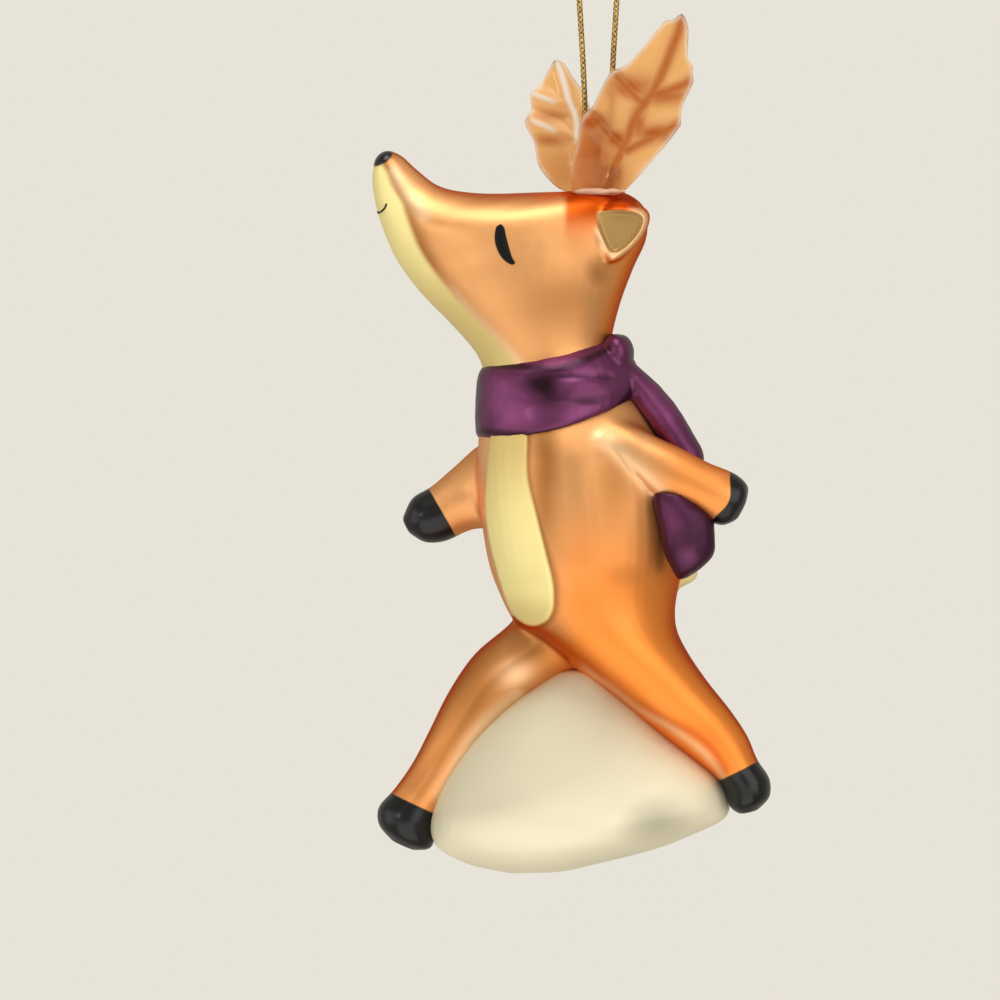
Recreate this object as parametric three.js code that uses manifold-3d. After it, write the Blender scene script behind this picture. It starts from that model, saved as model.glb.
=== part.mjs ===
// Glass reindeer ornament: a hollow blown figure with two leaf-shaped antlers, hung from a cord loop by a
// pressed cap and a spring wire. Millimetres, +Z up, the nose towards -X, the figure's left side towards -Y.
// The origin is the hook point, inside the top of the cord loop.
import * as THREE from 'three';
import { LoftGeometry } from 'three/addons/geometries/LoftGeometry.js';
import { mergeVertices } from 'three/addons/utils/BufferGeometryUtils.js';
import Module from 'manifold-3d';

// Driving dimensions: gaps
const fitGap = 0.3; // left between pieces that touch
const turnClearance = 0.3; // between the cap and the glass neck, all round
const legClearance = 0.3; // between a wire leg and its hole in the cap, or the bore of the neck
const leafClearance = 0.4; // between the cap's flutes and the foot of a leaf

// Driving dimensions: glass figure, whose own zero is the crown of the head under the hook point
const figureLength = 67.6; // nose to back hoof
const figureHeight = 122.8; // under the snow to the top of the nose
const figureDepth = 36; // across the snow
const crownDrop = 76; // hook point to crown
const glassWall = 1.5;
const hollowShift = 0.9; // the hollow lies this much nearer the nose: the thicker back balances the figure
const neckDiameter = 6;
const neckBore = 3.8;
const neckHeight = 3.6; // glass neck above the crown
const neckRoot = 4; // how far the neck and its bore reach down into the head

// Driving dimensions: cap and hanger wire
const capSheet = 0.4;
const capSkirtLift = 0.7; // skirt edge above the crown
const capFluteDepth = 0.25;
const capFlutes = 14;
const wireDiameter = 0.9;
const eyeInside = 5; // clear width of the wire's eye
const legLength = 15; // below the top of the cap

// Driving dimensions: antlers and their glue
const leafThickness = 1.5;
const leafSplay = 0.13; // outward lean, radians
const leafLift = 1.2; // crown to the foot of a leaf
const ribRise = 0.7; // how far the midrib stands off the leaf
const ribWidth = 1.9;
const glueLength = 10.4;
const glueWidth = 3.4;
const glueSink = 3; // how far the bead reaches down before the head cuts it

// Driving dimensions: cord loop
const cordDiameter = 1;
const bightRadius = 2; // of the cord's middle line, under the wire's eye
const knotWidth = 4.2;
const knotHeight = 3.4;
const tailLength = 7;
const tailLean = 0.45; // radians from upright

// Facets
const bodySides = 20;
const limbSides = 12;
const hollowSides = 10;
const ringsPerRib = 2;
const leafSegments = 3;
const roundSides = 28;
const cordSides = 8;
const cordSteps = 76;
const wireSteps = 56;
const mergeTolerance = 1e-4;

// Heights worked out from the sizes above, measured from the crown
const capTop = neckHeight + fitGap + capSheet;
const capInsideRadius = neckDiameter / 2 + turnClearance;
const capRadius = capInsideRadius + capSheet;
const leafSpread = capRadius + capFluteDepth + leafClearance; // axis to the inner face of a leaf's foot
const legSpacing = neckBore - wireDiameter - 2 * legClearance; // between the middles of the legs
const eyeRadius = (eyeInside + wireDiameter) / 2;
const eyeMiddle = capTop + fitGap + wireDiameter / 2 + eyeRadius;
const eyeTop = eyeMiddle + eyeRadius; // middle of the wire that the cord hangs on
const bightBottom = eyeTop - (wireDiameter + cordDiameter) / 2 - fitGap; // middle line of the cord

// The figure's forms as ribs, listed from the ground or a limb's end upwards. A rib is one closed section:
// [front x, front z, back x, back z, middle y, half depth], measured from the crown under the hook point.
// They give the figure's shape; figureLength, figureHeight and figureDepth give its size.
// The torso flows on into the leg that steps back.
const torsoRibs = [
  [24, -105.7, 27, -105, -4, 2],
  [22.3, -104.4, 29.1, -102.6, -4, 4.8],
  [21.8, -102.2, 29.2, -99.6, -4, 5.2],
  [20.2, -99.6, 27, -96.4, -4.2, 5],
  [15.6, -96, 25.3, -92.4, -4.6, 5.6],
  [10, -91.6, 22.4, -88, -5, 6.8],
  [3.6, -86.4, 18.6, -83.2, -4.6, 8.6],
  [-2.4, -82, 15.2, -78.2, -3.6, 11],
  [-9, -77.4, 13.4, -74.4, -2, 13.4],
  [-14.2, -73, 13.1, -71.2, -0.8, 15],
  [-17, -67.6, 13.7, -67, 0, 16.4],
  [-18.6, -63, 14.6, -63, 0, 17.2],
  [-20, -54, 15, -54, 0, 17.6],
  [-20.4, -45, 12.8, -45, 0, 16],
  [-20.2, -39, 9.5, -38.5, 0, 13.4],
  [-19.8, -33, 5.4, -32.5, 0, 11.2],
  [-19.4, -27.5, 3, -27.5, 0, 10.4],
];
const headRibs = [
  [-19.2, -31, 3.2, -30, 0, 10.2],
  [-20.6, -27.6, 2.3, -26, 0, 10.6],
  [-25.4, -22, 3.6, -19.6, 0, 11.6],
  [-29, -18.4, 6, -13, 0, 12.4],
  [-31.4, -15.6, 8.3, -7.6, 0, 12.6],
  [-32.9, -13.6, 8, -2.8, 0, 12.2],
  [-34.1, -11.8, 4.2, 0, 0, 11.6],
  [-35.4, -9.2, -8, 0, 0, 10],
  [-36.6, -6.2, -20.5, -0.2, 0, 7.6],
  [-37.5, -3.4, -27, 1, 0, 6],
  [-38.2, 0, -30.8, 3.8, 0, 4.9],
  [-38.4, 2.6, -33.6, 6.3, 0, 4],
  [-38.1, 4.4, -35.2, 6.9, 0, 3.1],
  [-37.5, 5.8, -36.5, 6.7, 0, 1.3],
];
const moundRibs = [
  [-15, -115.9, -5, -115.4, 0, 8],
  [-22, -114.4, 7, -112.6, 0, 14],
  [-27.6, -111.4, 17, -109, 0, 17.4],
  [-28.8, -108, 22.2, -106, 0, 18],
  [-28, -103.6, 22.4, -102.6, 0, 16.4],
  [-25.4, -98, 19.6, -97.6, 0, 13.6],
  [-21, -92, 13.6, -92, 0, 10.6],
  [-14.6, -86, 7.4, -86, 0, 7.8],
  [-8, -81, 3, -81, 0, 5.4],
];
const frontLegRibs = [
  [-35, -110.4, -31.4, -112, 2, 2],
  [-37.3, -107.6, -28.4, -111.6, 2, 5],
  [-37.4, -104.8, -27.6, -109.2, 2, 5.8],
  [-34.7, -101.6, -26.2, -106, 2, 5.4],
  [-31.6, -97.2, -22.4, -100.6, 2, 5.6],
  [-28.6, -91.4, -18, -93.8, 2, 6.2],
  [-25.4, -85, -12.6, -87.8, 2, 7],
  [-21, -78.6, -5.6, -83.2, 2, 8.4],
  [-15.2, -73.6, 2, -79.2, 2, 9.4],
  [-11, -69, 6, -73, 1, 9],
];
const rearArmRibs = [
  [23.2, -56, 25.3, -52, -11.6, 1.8],
  [20.9, -57, 25.5, -49.6, -11.6, 4.2],
  [18.4, -55.8, 22.8, -47.8, -11.6, 4.9],
  [14.4, -53.6, 18.4, -46, -11.6, 4.8],
  [9.4, -51.6, 14, -43.6, -11.2, 4.8],
  [4.5, -48.2, 9.6, -41.4, -10.6, 4.6],
  [0.8, -44.8, 5.4, -39.4, -10, 4.4],
  [-2.2, -42.6, 1.6, -37.8, -9, 4],
];
const foreArmRibs = [
  [-33.4, -55.6, -32.2, -58, 6.6, 1.8],
  [-31.6, -52, -29.4, -59.6, 6.6, 4.4],
  [-28.6, -50.2, -26, -59.4, 6.6, 4.9],
  [-24.6, -46.8, -21.4, -57.4, 6.6, 4.9],
  [-19.6, -42.6, -15.4, -57, 6, 5.6],
  [-13, -40.6, -10, -54, 4, 5.4],
];
const scarfRibs = [
  [-17.5, -42.4, 4, -36, 0, 11],
  [-20.6, -41.6, 7.2, -34.4, 0, 14.5],
  [-21, -38.6, 7.6, -31.8, 0, 14.6],
  [-20.9, -34.6, 6.6, -29, 0, 13.8],
  [-20.4, -30.6, 4.8, -26.4, 0, 12.6],
  [-18.8, -28.8, 2.4, -25, 0, 10.4],
];
const scarfKnotRibs = [
  [2, -31.4, 4.4, -31, -3, 3],
  [0.8, -29.6, 6, -29, -3, 5],
  [0.4, -27.2, 6, -26.4, -3, 5.4],
  [0.6, -25.2, 5, -24.6, -3, 4.4],
  [1.4, -24.2, 3.4, -24.1, -3, 2],
];
const scarfTailRibs = [
  [13.6, -49, 17.6, -47.6, -7, 2.4],
  [12.2, -45.4, 18, -44.8, -6.4, 3.4],
  [9.6, -41.4, 16, -40.6, -5.6, 3.6],
  [6.6, -37.4, 13.2, -36.2, -4.8, 3.6],
  [3.4, -33, 9.4, -31.8, -3.8, 3.6],
  [0.6, -29.4, 5, -28, -3, 3],
];
const scarfEndRibs = [
  [13.4, -66, 15, -65.6, -11.2, 1.4],
  [12.4, -64.6, 17.4, -63.9, -12, 2.6],
  [11, -61.8, 19.6, -61.4, -12.8, 3.2],
  [10.1, -57.4, 19.7, -58, -13.1, 3.4],
  [9, -52.8, 19.2, -55, -13.1, 3.4],
  [9.2, -50.8, 15.6, -51.6, -12.6, 3],
];
const tailRibs = [
  [12, -67.4, 14.2, -67.2, 0, 1.4],
  [11, -66.2, 16.6, -65.8, 0, 2.6],
  [11, -64.4, 17, -64.4, 0, 2.9],
  [11.6, -62.8, 15.6, -63, 0, 2],
];
const earRibs = [
  [1.6, -12.4, 3.4, -11.8, 8.6, 1.8],
  [0, -9.8, 6.2, -9.4, 8.2, 3.4],
  [-0.8, -6.4, 8.4, -6.2, 7.6, 4.2],
  [0, -3.4, 8.7, -3.8, 7, 3.8],
  [2, -1.6, 6.6, -2, 6.2, 2.2],
];
const earDishRibs = [
  [1.6, -10.2, 2.8, -10, 11.4, 1],
  [0.6, -7.8, 5.4, -7.4, 11.7, 1.8],
  [0.2, -5.2, 7.4, -5, 11.5, 2],
  [1.2, -3.4, 6.6, -3.4, 10.9, 1.2],
];

// Leaf antlers as outlines [x, z] from the foot of one edge over the tip to the foot of the other.
const leftLeaf = {
  backEdge: [
    [4.9, 0],
    [9.5, 5.4],
    [13.5, 10.7],
    [14, 13.4],
    [16.1, 20.6],
    [15.1, 24.4],
    [14.6, 29.2],
  ],
  frontEdge: [
    [11.5, 29.3],
    [7, 24.5],
    [1.9, 20.5],
    [-0.9, 15.5],
    [-2.9, 11.9],
    [-4.7, 4.6],
    [-5, 0],
  ],
  midrib: [
    [1.6, 1.2],
    [4.1, 7.1],
    [7.2, 13.9],
    [9.7, 20.7],
    [13.2, 27.6],
  ],
};
const rightLeaf = {
  backEdge: [
    [0.6, 0],
    [1, 7],
    [-0.4, 12],
    [-2.2, 16.4],
    [-6.3, 22.4],
  ],
  frontEdge: [
    [-7.4, 22.7],
    [-11.2, 17.3],
    [-11.5, 14],
    [-12.2, 12],
    [-10.5, 7],
    [-8.4, 1.8],
    [-5.4, 0],
  ],
  midrib: [
    [-3, 1.2],
    [-3.6, 9],
    [-4.6, 15.4],
    [-6.8, 21],
  ],
};

// The cord's route from one side of the knot down a strand to the bight: [x, z] from the hook point. The
// bight and the other strand follow from the wire's eye and by symmetry.
const cordStrand = [
  [-1.9, 0.2],
  [-3.5, -0.8],
  [-4.8, -2.3],
  [-5.4, -4],
  [-5.5, -5.6],
  [-5.2, -10],
  [-4.7, -19],
  [-4, -30],
  [-3.2, -43],
  [-2.6, -53],
  [-2.3, -59],
];

// How much larger than its ribs the figure is along each axis
const outerRibs = [...headRibs, ...moundRibs, ...frontLegRibs, ...torsoRibs];
const lengthScale = figureLength / span(outerRibs.flatMap((r) => [r[0], r[2]]));
const heightScale = figureHeight / span(outerRibs.flatMap((r) => [r[1], r[3]]));
const depthScale = figureDepth / span(outerRibs.flatMap((r) => [r[4] - r[5], r[4] + r[5]]));

const wasm = await Module();
wasm.setup();

const depthAxis = new THREE.Vector3(0, 1, 0);

function span(values) {
  return Math.max(...values) - Math.min(...values);
}

// A closed geometry as a solid that can be joined and cut.
function toSolid(geometry) {
  const bare = new THREE.BufferGeometry();
  bare.setAttribute('position', geometry.getAttribute('position'));
  bare.setIndex(geometry.index);
  const merged = mergeVertices(bare, mergeTolerance);
  const vertProperties = new Float32Array(merged.attributes.position.array);
  const triVerts = new Uint32Array(merged.index.array);
  return new wasm.Manifold(new wasm.Mesh({ numProp: 3, vertProperties, triVerts }));
}

// A solid as a geometry with its own normals.
function toGeometry(solid) {
  const mesh = solid.getMesh();
  const geometry = new THREE.BufferGeometry();
  geometry.setAttribute('position', new THREE.BufferAttribute(mesh.vertProperties, 3));
  geometry.setIndex(new THREE.BufferAttribute(mesh.triVerts, 1));
  geometry.computeVertexNormals();
  return geometry;
}

function join(solids) {
  return solids.reduce((whole, solid) => whole.add(solid));
}

// An upright round bar between two heights.
function bar(diameter, low, high, x = 0, y = 0) {
  const geometry = new THREE.CylinderGeometry(diameter / 2, diameter / 2, high - low, roundSides);
  geometry.rotateX(Math.PI / 2);
  geometry.translate(x, y, (low + high) / 2);
  return toSolid(geometry);
}

// A smooth skin over ribs, grown by some amount all round, or drawn in where the amount is negative. A form
// drawn in stops short of its first rib by as much.
function ribbed(ribs, sides, grown = 0) {
  const front = new THREE.CatmullRomCurve3(ribs.map((r) => sized(r[0], r[4], r[1])));
  const back = new THREE.CatmullRomCurve3(ribs.map((r) => sized(r[2], r[4], r[3])));
  const depth = new THREE.CatmullRomCurve3(ribs.map((r, i) => new THREE.Vector3(r[5] * depthScale, i, 0)));
  const count = (ribs.length - 1) * ringsPerRib;
  const start = front.getPoint(0).add(back.getPoint(0)).multiplyScalar(0.5);
  const sections = [];
  for (let i = 0; i <= count; i += 1) {
    const a = front.getPoint(i / count);
    const across = back.getPoint(i / count).sub(a);
    const middle = a.addScaledVector(across, 0.5);
    const halfWidth = across.length() / 2 + grown;
    const halfDepth = depth.getPoint(i / count).x + grown;
    across.normalize();
    if (Math.min(halfWidth, halfDepth, middle.distanceTo(start)) >= -grown) {
      sections.push(ring(middle, across, halfWidth, halfDepth, sides));
    }
  }
  return toSolid(new LoftGeometry(sections, { capStart: true, capEnd: true }));
}

// A point of a rib at the figure's size.
function sized(x, y, z) {
  return new THREE.Vector3(x * lengthScale, y * depthScale, z * heightScale);
}

// The same ribs, moved along X.
function moved(ribs, x) {
  return ribs.map((r) => [r[0] + x, r[1], r[2] + x, r[3], r[4], r[5]]);
}

// One closed section of a skin.
function ring(middle, across, halfWidth, halfDepth, sides) {
  const points = [];
  for (let i = 0; i < sides; i += 1) {
    const angle = (2 * Math.PI * i) / sides;
    const point = middle.clone().addScaledVector(across, halfWidth * Math.cos(angle));
    points.push(point.addScaledVector(depthAxis, halfDepth * Math.sin(angle)));
  }
  return points;
}

// A round tube along a curve.
function tube(curve, diameter, steps, sides) {
  const section = new THREE.Shape().absarc(0, 0, diameter / 2, 0, 2 * Math.PI);
  return new THREE.ExtrudeGeometry(section, { extrudePath: curve, steps, curveSegments: sides / 2 });
}

// Ribs of the figure's right side, put on the side asked for; side -1 is the figure's left.
function onSide(ribs, side) {
  return ribs.map((r) => [...r.slice(0, 4), side * r[4], r[5]]);
}

// An ear with the dish pressed into its face.
function ear(side) {
  return ribbed(onSide(earRibs, side), limbSides).subtract(ribbed(onSide(earDishRibs, side), limbSides));
}

function glassBody() {
  const hollowForms = [
    [torsoRibs, bodySides],
    [headRibs, bodySides],
    [moundRibs, bodySides],
    [frontLegRibs, limbSides],
    [rearArmRibs, limbSides],
    [foreArmRibs, limbSides],
  ];
  const solidForms = [scarfKnotRibs, scarfTailRibs, scarfEndRibs, tailRibs];
  const skin = join([
    ...hollowForms.map(([ribs, sides]) => ribbed(ribs, sides)),
    ...solidForms.map((ribs) => ribbed(ribs, limbSides)),
    ribbed(scarfRibs, bodySides),
    ear(-1),
    ear(1),
    bar(neckDiameter, -neckRoot, neckHeight),
  ]);
  const hollow = join([
    ...hollowForms.map(([ribs]) => ribbed(moved(ribs, -hollowShift), hollowSides, -glassWall)),
    bar(neckBore, -neckRoot, neckHeight + fitGap),
  ]);
  return toGeometry(skin.subtract(hollow));
}

// A leaf with its midrib; outward is the way its ribbed face looks along Y.
function leafAntler(leaf, outward) {
  const outline = new THREE.Shape();
  outline.moveTo(...leaf.backEdge[0]);
  outline.splineThru(leaf.backEdge.slice(1).map((p) => new THREE.Vector2(...p)));
  outline.lineTo(...leaf.frontEdge[0]);
  outline.splineThru(leaf.frontEdge.slice(1).map((p) => new THREE.Vector2(...p)));
  const blade = new THREE.ExtrudeGeometry(outline, {
    depth: leafThickness,
    bevelEnabled: false,
    curveSegments: leafSegments,
  });
  const route = leaf.midrib.map((p) => new THREE.Vector3(...p, outward < 0 ? leafThickness : 0));
  const rib = tube(new THREE.CatmullRomCurve3(route), ribWidth, 3 * leaf.midrib.length, cordSides);
  const flatten = new THREE.Matrix4().makeScale(1, 1, (2 * ribRise) / ribWidth);
  const centre = outward < 0 ? leafThickness : 0;
  rib.translate(0, 0, -centre).applyMatrix4(flatten).translate(0, 0, centre);
  const geometry = toGeometry(toSolid(blade).add(toSolid(rib)));
  geometry.rotateX(Math.PI / 2);
  geometry.translate(0, outward < 0 ? 0 : leafThickness, 0);
  geometry.rotateX(-outward * leafSplay);
  geometry.translate(0, outward * leafSpread, leafLift);
  return geometry;
}

// The glue bead between the crown and the foot of a leaf, shaped by both.
function glueBead(leaf, outward) {
  const footMiddle = (leaf.backEdge[0][0] + leaf.frontEdge.at(-1)[0]) / 2;
  const halfStraight = (glueLength - glueWidth) / 2;
  const section = new THREE.Shape();
  section.absarc(halfStraight, 0, glueWidth / 2, -Math.PI / 2, Math.PI / 2);
  section.absarc(-halfStraight, 0, glueWidth / 2, Math.PI / 2, (3 * Math.PI) / 2);
  const bead = new THREE.ExtrudeGeometry(section, {
    depth: glueSink + leafLift - fitGap,
    bevelEnabled: false,
    curveSegments: cordSides,
  });
  bead.translate(footMiddle, outward * (leafSpread + leafThickness / 2), -glueSink);
  const cleared = toSolid(bead)
    .subtract(ribbed(headRibs, bodySides, fitGap))
    .subtract(ribbed(onSide(earRibs, outward), limbSides, fitGap))
    .subtract(bar(2 * (capRadius + fitGap), -neckRoot, capTop));
  return toGeometry(cleared);
}

// The pressed cap: a cup over the glass neck, fluted towards its skirt, with two holes for the wire.
function neckCap() {
  const levels = [
    [capSkirtLift, capFluteDepth],
    [(capSkirtLift + neckHeight) / 2, capFluteDepth],
    [neckHeight, 0],
    [capTop, 0],
  ];
  const sides = 4 * capFlutes;
  const rings = levels.map(([height, flute]) => {
    const points = [];
    for (let i = 0; i < sides; i += 1) {
      const angle = (2 * Math.PI * i) / sides;
      const radius = capRadius + (flute * (1 + Math.cos(capFlutes * angle))) / 2;
      points.push(new THREE.Vector3(radius * Math.cos(angle), radius * Math.sin(angle), height));
    }
    return points;
  });
  const holeDiameter = wireDiameter + 2 * legClearance;
  const cup = toSolid(new LoftGeometry(rings, { capStart: true, capEnd: true }))
    .subtract(bar(2 * capInsideRadius, 0, capTop - capSheet))
    .subtract(bar(holeDiameter, 0, capTop + capSheet, 0, legSpacing / 2))
    .subtract(bar(holeDiameter, 0, capTop + capSheet, 0, -legSpacing / 2));
  return toGeometry(cup);
}

// The spring wire: up one leg, round the eye and down the other leg, in the plane across the cord.
function hangerWire() {
  const legY = legSpacing / 2;
  const shoulder = capTop + fitGap + wireDiameter / 2;
  const half = [
    [legY, capTop - legLength],
    [legY, capTop - legLength / 2],
    [legY, capTop - capSheet],
    [legY + (eyeRadius - legY) / 4, shoulder + wireDiameter / 4],
    [eyeRadius * Math.cos(Math.PI / 6), eyeMiddle - eyeRadius / 2],
    [eyeRadius, eyeMiddle],
    [eyeRadius * Math.cos(Math.PI / 4), eyeMiddle + eyeRadius * Math.sin(Math.PI / 4)],
  ];
  const near = half.map(([y, z]) => new THREE.Vector3(0, -y, z));
  const far = half.map(([y, z]) => new THREE.Vector3(0, y, z)).reverse();
  const route = new THREE.CatmullRomCurve3([...near, new THREE.Vector3(0, 0, eyeTop), ...far]);
  return tube(route, wireDiameter, wireSteps, cordSides);
}

// The cord: down one strand, round under the eye and up the other, in the plane of the nose.
function hangCord() {
  const turnMiddle = bightBottom + bightRadius - crownDrop;
  const bight = [-75, -35, 0, 35, 75].map((degrees) => {
    const angle = THREE.MathUtils.degToRad(degrees);
    const x = bightRadius * Math.sin(angle);
    return new THREE.Vector3(x, 0, turnMiddle - bightRadius * Math.cos(angle));
  });
  const down = cordStrand.map(([x, z]) => new THREE.Vector3(x, 0, z));
  const up = cordStrand.map(([x, z]) => new THREE.Vector3(-x, 0, z)).reverse();
  return tube(new THREE.CatmullRomCurve3([...down, ...bight, ...up]), cordDiameter, cordSteps, cordSides);
}

// The knot over the hook point, with its two cut tails.
function cordKnot() {
  const lump = new THREE.SphereGeometry(knotWidth / 2, limbSides, limbSides / 2);
  lump.rotateX(Math.PI / 2);
  lump.scale(1, 1, knotHeight / knotWidth);
  const solid = [-1, 1].reduce((whole, side) => {
    const tail = new THREE.CylinderGeometry(cordDiameter / 2, cordDiameter / 2, tailLength, cordSides);
    tail.rotateX(Math.PI / 2);
    tail.translate(0, 0, tailLength / 2);
    tail.rotateY(side * tailLean);
    return whole.add(toSolid(tail));
  }, toSolid(lump));
  const geometry = toGeometry(solid);
  geometry.translate(0, 0, knotHeight / 2);
  return geometry;
}

function piece(name, geometry, color, roughness, metalness) {
  const mesh = new THREE.Mesh(geometry, new THREE.MeshStandardMaterial({ color, roughness, metalness }));
  mesh.name = name;
  return mesh;
}

const figure = new THREE.Group();
figure.position.z = -crownDrop;
figure.add(
  piece('glass_body', glassBody(), 0xdf8846, 0.3, 0.4),
  piece('antler_left', leafAntler(leftLeaf, -1), 0xde9040, 0.25, 0),
  piece('antler_right', leafAntler(rightLeaf, 1), 0xe2a26c, 0.25, 0),
  piece('antler_glue_left', glueBead(leftLeaf, -1), 0xf2c8a2, 0.5, 0),
  piece('antler_glue_right', glueBead(rightLeaf, 1), 0xf2c8a2, 0.5, 0),
  piece('neck_cap', neckCap(), 0xc79a45, 0.3, 1),
  piece('hanger_wire', hangerWire(), 0xb89a5a, 0.3, 1),
);

const ornament = new THREE.Group();
ornament.add(
  figure,
  piece('hang_cord', hangCord(), 0x795d32, 0.6, 0.3),
  piece('cord_knot', cordKnot(), 0x795d32, 0.6, 0.3),
);

export default ornament;
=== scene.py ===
"""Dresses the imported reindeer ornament: blown glass figure, leaf antlers, cap, hanger wire and cord loop.

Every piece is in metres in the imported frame, whose origin is the hook point inside the top of the cord loop.
The figure's own places are written in millimetres about the crown of its head.
"""

import logging
import math
from collections.abc import Callable, Iterator, Sequence
from contextlib import contextmanager
from dataclasses import dataclass
from enum import Enum
from typing import NamedTuple

import bmesh
import bpy
import numpy as np
from mathutils import Matrix, Vector


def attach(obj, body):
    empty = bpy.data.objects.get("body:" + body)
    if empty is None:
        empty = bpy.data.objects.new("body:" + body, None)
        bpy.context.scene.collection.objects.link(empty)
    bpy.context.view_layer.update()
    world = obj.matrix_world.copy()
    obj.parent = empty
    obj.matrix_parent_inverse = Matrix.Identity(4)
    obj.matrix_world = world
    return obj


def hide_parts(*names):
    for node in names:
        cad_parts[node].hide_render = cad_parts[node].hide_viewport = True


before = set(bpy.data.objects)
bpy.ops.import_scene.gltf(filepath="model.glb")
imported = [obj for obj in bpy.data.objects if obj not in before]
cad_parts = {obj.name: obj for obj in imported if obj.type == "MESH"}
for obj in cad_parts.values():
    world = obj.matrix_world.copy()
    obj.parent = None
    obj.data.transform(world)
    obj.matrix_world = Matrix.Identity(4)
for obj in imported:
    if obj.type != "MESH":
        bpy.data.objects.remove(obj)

LOG = logging.getLogger("ornament")
MM = 0.001  # metres in a millimetre
CROWN_DROP = 0.076  # hook point to the crown of the head
OUTSIDE = 9.0  # millimetres, further than any spray or mask reaches
RING_SIDES = 48  # corners of each ring of a blown form
RINGS_PER_RIB = 5

Points = Sequence[Sequence[float]]
Span = tuple[float, float]  # from where something starts to where it is full
Settings = dict[str | int, object]
Links = dict[str | int, bpy.types.NodeSocket]


def on_figure(points: Points) -> np.ndarray:
    """Places on the figure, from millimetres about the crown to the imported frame."""
    return np.asarray(points, float) * MM - np.array((0.0, 0.0, CROWN_DROP))


def linear(hex_colour: str) -> tuple[float, float, float, float]:
    """Turns a colour to the linear values that shaders take.

    Args:
        hex_colour: Red, green and blue in sRGB, two hex digits each.

    Returns:
        Red, green, blue and a full alpha.
    """
    shares = [int(hex_colour[i : i + 2], 16) / 255 for i in (0, 2, 4)]
    red, green, blue = (s / 12.92 if s <= 0.04045 else ((s + 0.055) / 1.055) ** 2.4 for s in shares)
    return red, green, blue, 1.0


def spline(points: Points, at: np.ndarray) -> np.ndarray:
    """Places on a centripetal Catmull-Rom curve, the kind that the solids follow.

    Args:
        points: The points that the curve passes through.
        at: Where on it: 0 is the first point, 1 the second, and so on.

    Returns:
        One row for each place asked for.
    """
    own = np.asarray(points, float)
    padded = np.vstack([2 * own[0] - own[1], own, 2 * own[-1] - own[-2]])
    index = np.clip(np.floor(at).astype(int), 0, len(own) - 2)
    t = (at - index)[:, None]
    p0, p1, p2, p3 = (padded[index + k] for k in range(4))
    d0, d1, d2 = (np.sqrt(np.linalg.norm(b - a, axis=1))[:, None] for a, b in ((p0, p1), (p1, p2), (p2, p3)))
    start = ((p1 - p0) / d0 - (p2 - p0) / (d0 + d1) + (p2 - p1) / d1) * d1
    end = ((p2 - p1) / d1 - (p3 - p1) / (d1 + d2) + (p3 - p2) / d2) * d1
    return p1 + t * (start + t * (3 * (p2 - p1) - 2 * start - end + t * (2 * (p1 - p2) + start + end)))


def evenly(points: Points, count: int) -> np.ndarray:
    """Places spaced evenly by length along the curve through some points.

    Args:
        points: The points that the curve passes through.
        count: How many places.

    Returns:
        One row for each place.
    """
    at = np.linspace(0, len(points) - 1, 60 * len(points))
    dense = spline(points, at)
    length = np.concatenate([[0.0], np.cumsum(np.linalg.norm(np.diff(dense, axis=0), axis=1))])
    return spline(points, np.interp(np.linspace(0, length[-1], count), length, at))


def soft_step(low: float, high: float, value: np.ndarray) -> np.ndarray:
    """A share that eases from 0 at low to 1 at high; high may be the smaller one."""
    t = np.clip((value - low) / (high - low), 0, 1)
    return t * t * (3 - 2 * t)


def bell(distance: np.ndarray, width: float) -> np.ndarray:
    """A share that is 1 where the distance is nothing and fades over a width."""
    return np.exp(-((distance / width) ** 2))


def edge_distance(outline: Points, x: np.ndarray, z: np.ndarray) -> np.ndarray:
    """How far places lie inside the closed curve through some points of the plane of X and Z; outside it is negative.

    Args:
        outline: The points that the curve passes through.
        x: X of each place.
        z: Z of each place.

    Returns:
        One distance for each place, in the outline's unit.
    """
    a = evenly([*outline, outline[0]], 6 * len(outline) + 1)[:-1]
    b = np.roll(a, -1, axis=0)
    nearest = np.full(x.shape, np.inf)
    inside = np.zeros(x.shape, bool)
    for (ax, az), (bx, bz) in zip(a, b):
        along = np.clip(((x - ax) * (bx - ax) + (z - az) * (bz - az)) / ((bx - ax) ** 2 + (bz - az) ** 2), 0, 1)
        nearest = np.minimum(nearest, np.hypot(x - ax - along * (bx - ax), z - az - along * (bz - az)))
        if bz != az:
            crosses = (az > z) != (bz > z)
            inside ^= crosses & (x < ax + (z - az) * (bx - ax) / (bz - az))
    return np.where(inside, nearest, -nearest)


def line_distance(line: Points, x: np.ndarray, z: np.ndarray) -> np.ndarray:
    """How far places lie from a curve in the plane of X and Z.

    Args:
        line: The points that the curve passes through.
        x: X of each place.
        z: Z of each place.

    Returns:
        One distance for each place, in the line's unit.
    """
    nearest = np.full(x.shape, np.inf)
    for px, pz in evenly(line, 80):
        nearest = np.minimum(nearest, np.hypot(x - px, z - pz))
    return nearest


class Spot(NamedTuple):
    """A soft round mark in the plane of X and Z, in millimetres about the crown."""

    x: float
    z: float
    half_width: float
    half_height: float
    weight: float = 1.0

    def share(self, x: np.ndarray, z: np.ndarray) -> np.ndarray:
        """How strong the mark is at each place."""
        return self.weight * np.exp(-(((x - self.x) / self.half_width) ** 2) - ((z - self.z) / self.half_height) ** 2)


class Stripe(NamedTuple):
    """A soft mark along a curve in the plane of X and Z, in millimetres about the crown."""

    line: Points
    width: float
    weight: float

    def share(self, x: np.ndarray, z: np.ndarray) -> np.ndarray:
        """How strong the mark is at each place."""
        return self.weight * bell(line_distance(self.line, x, z), self.width)


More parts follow.
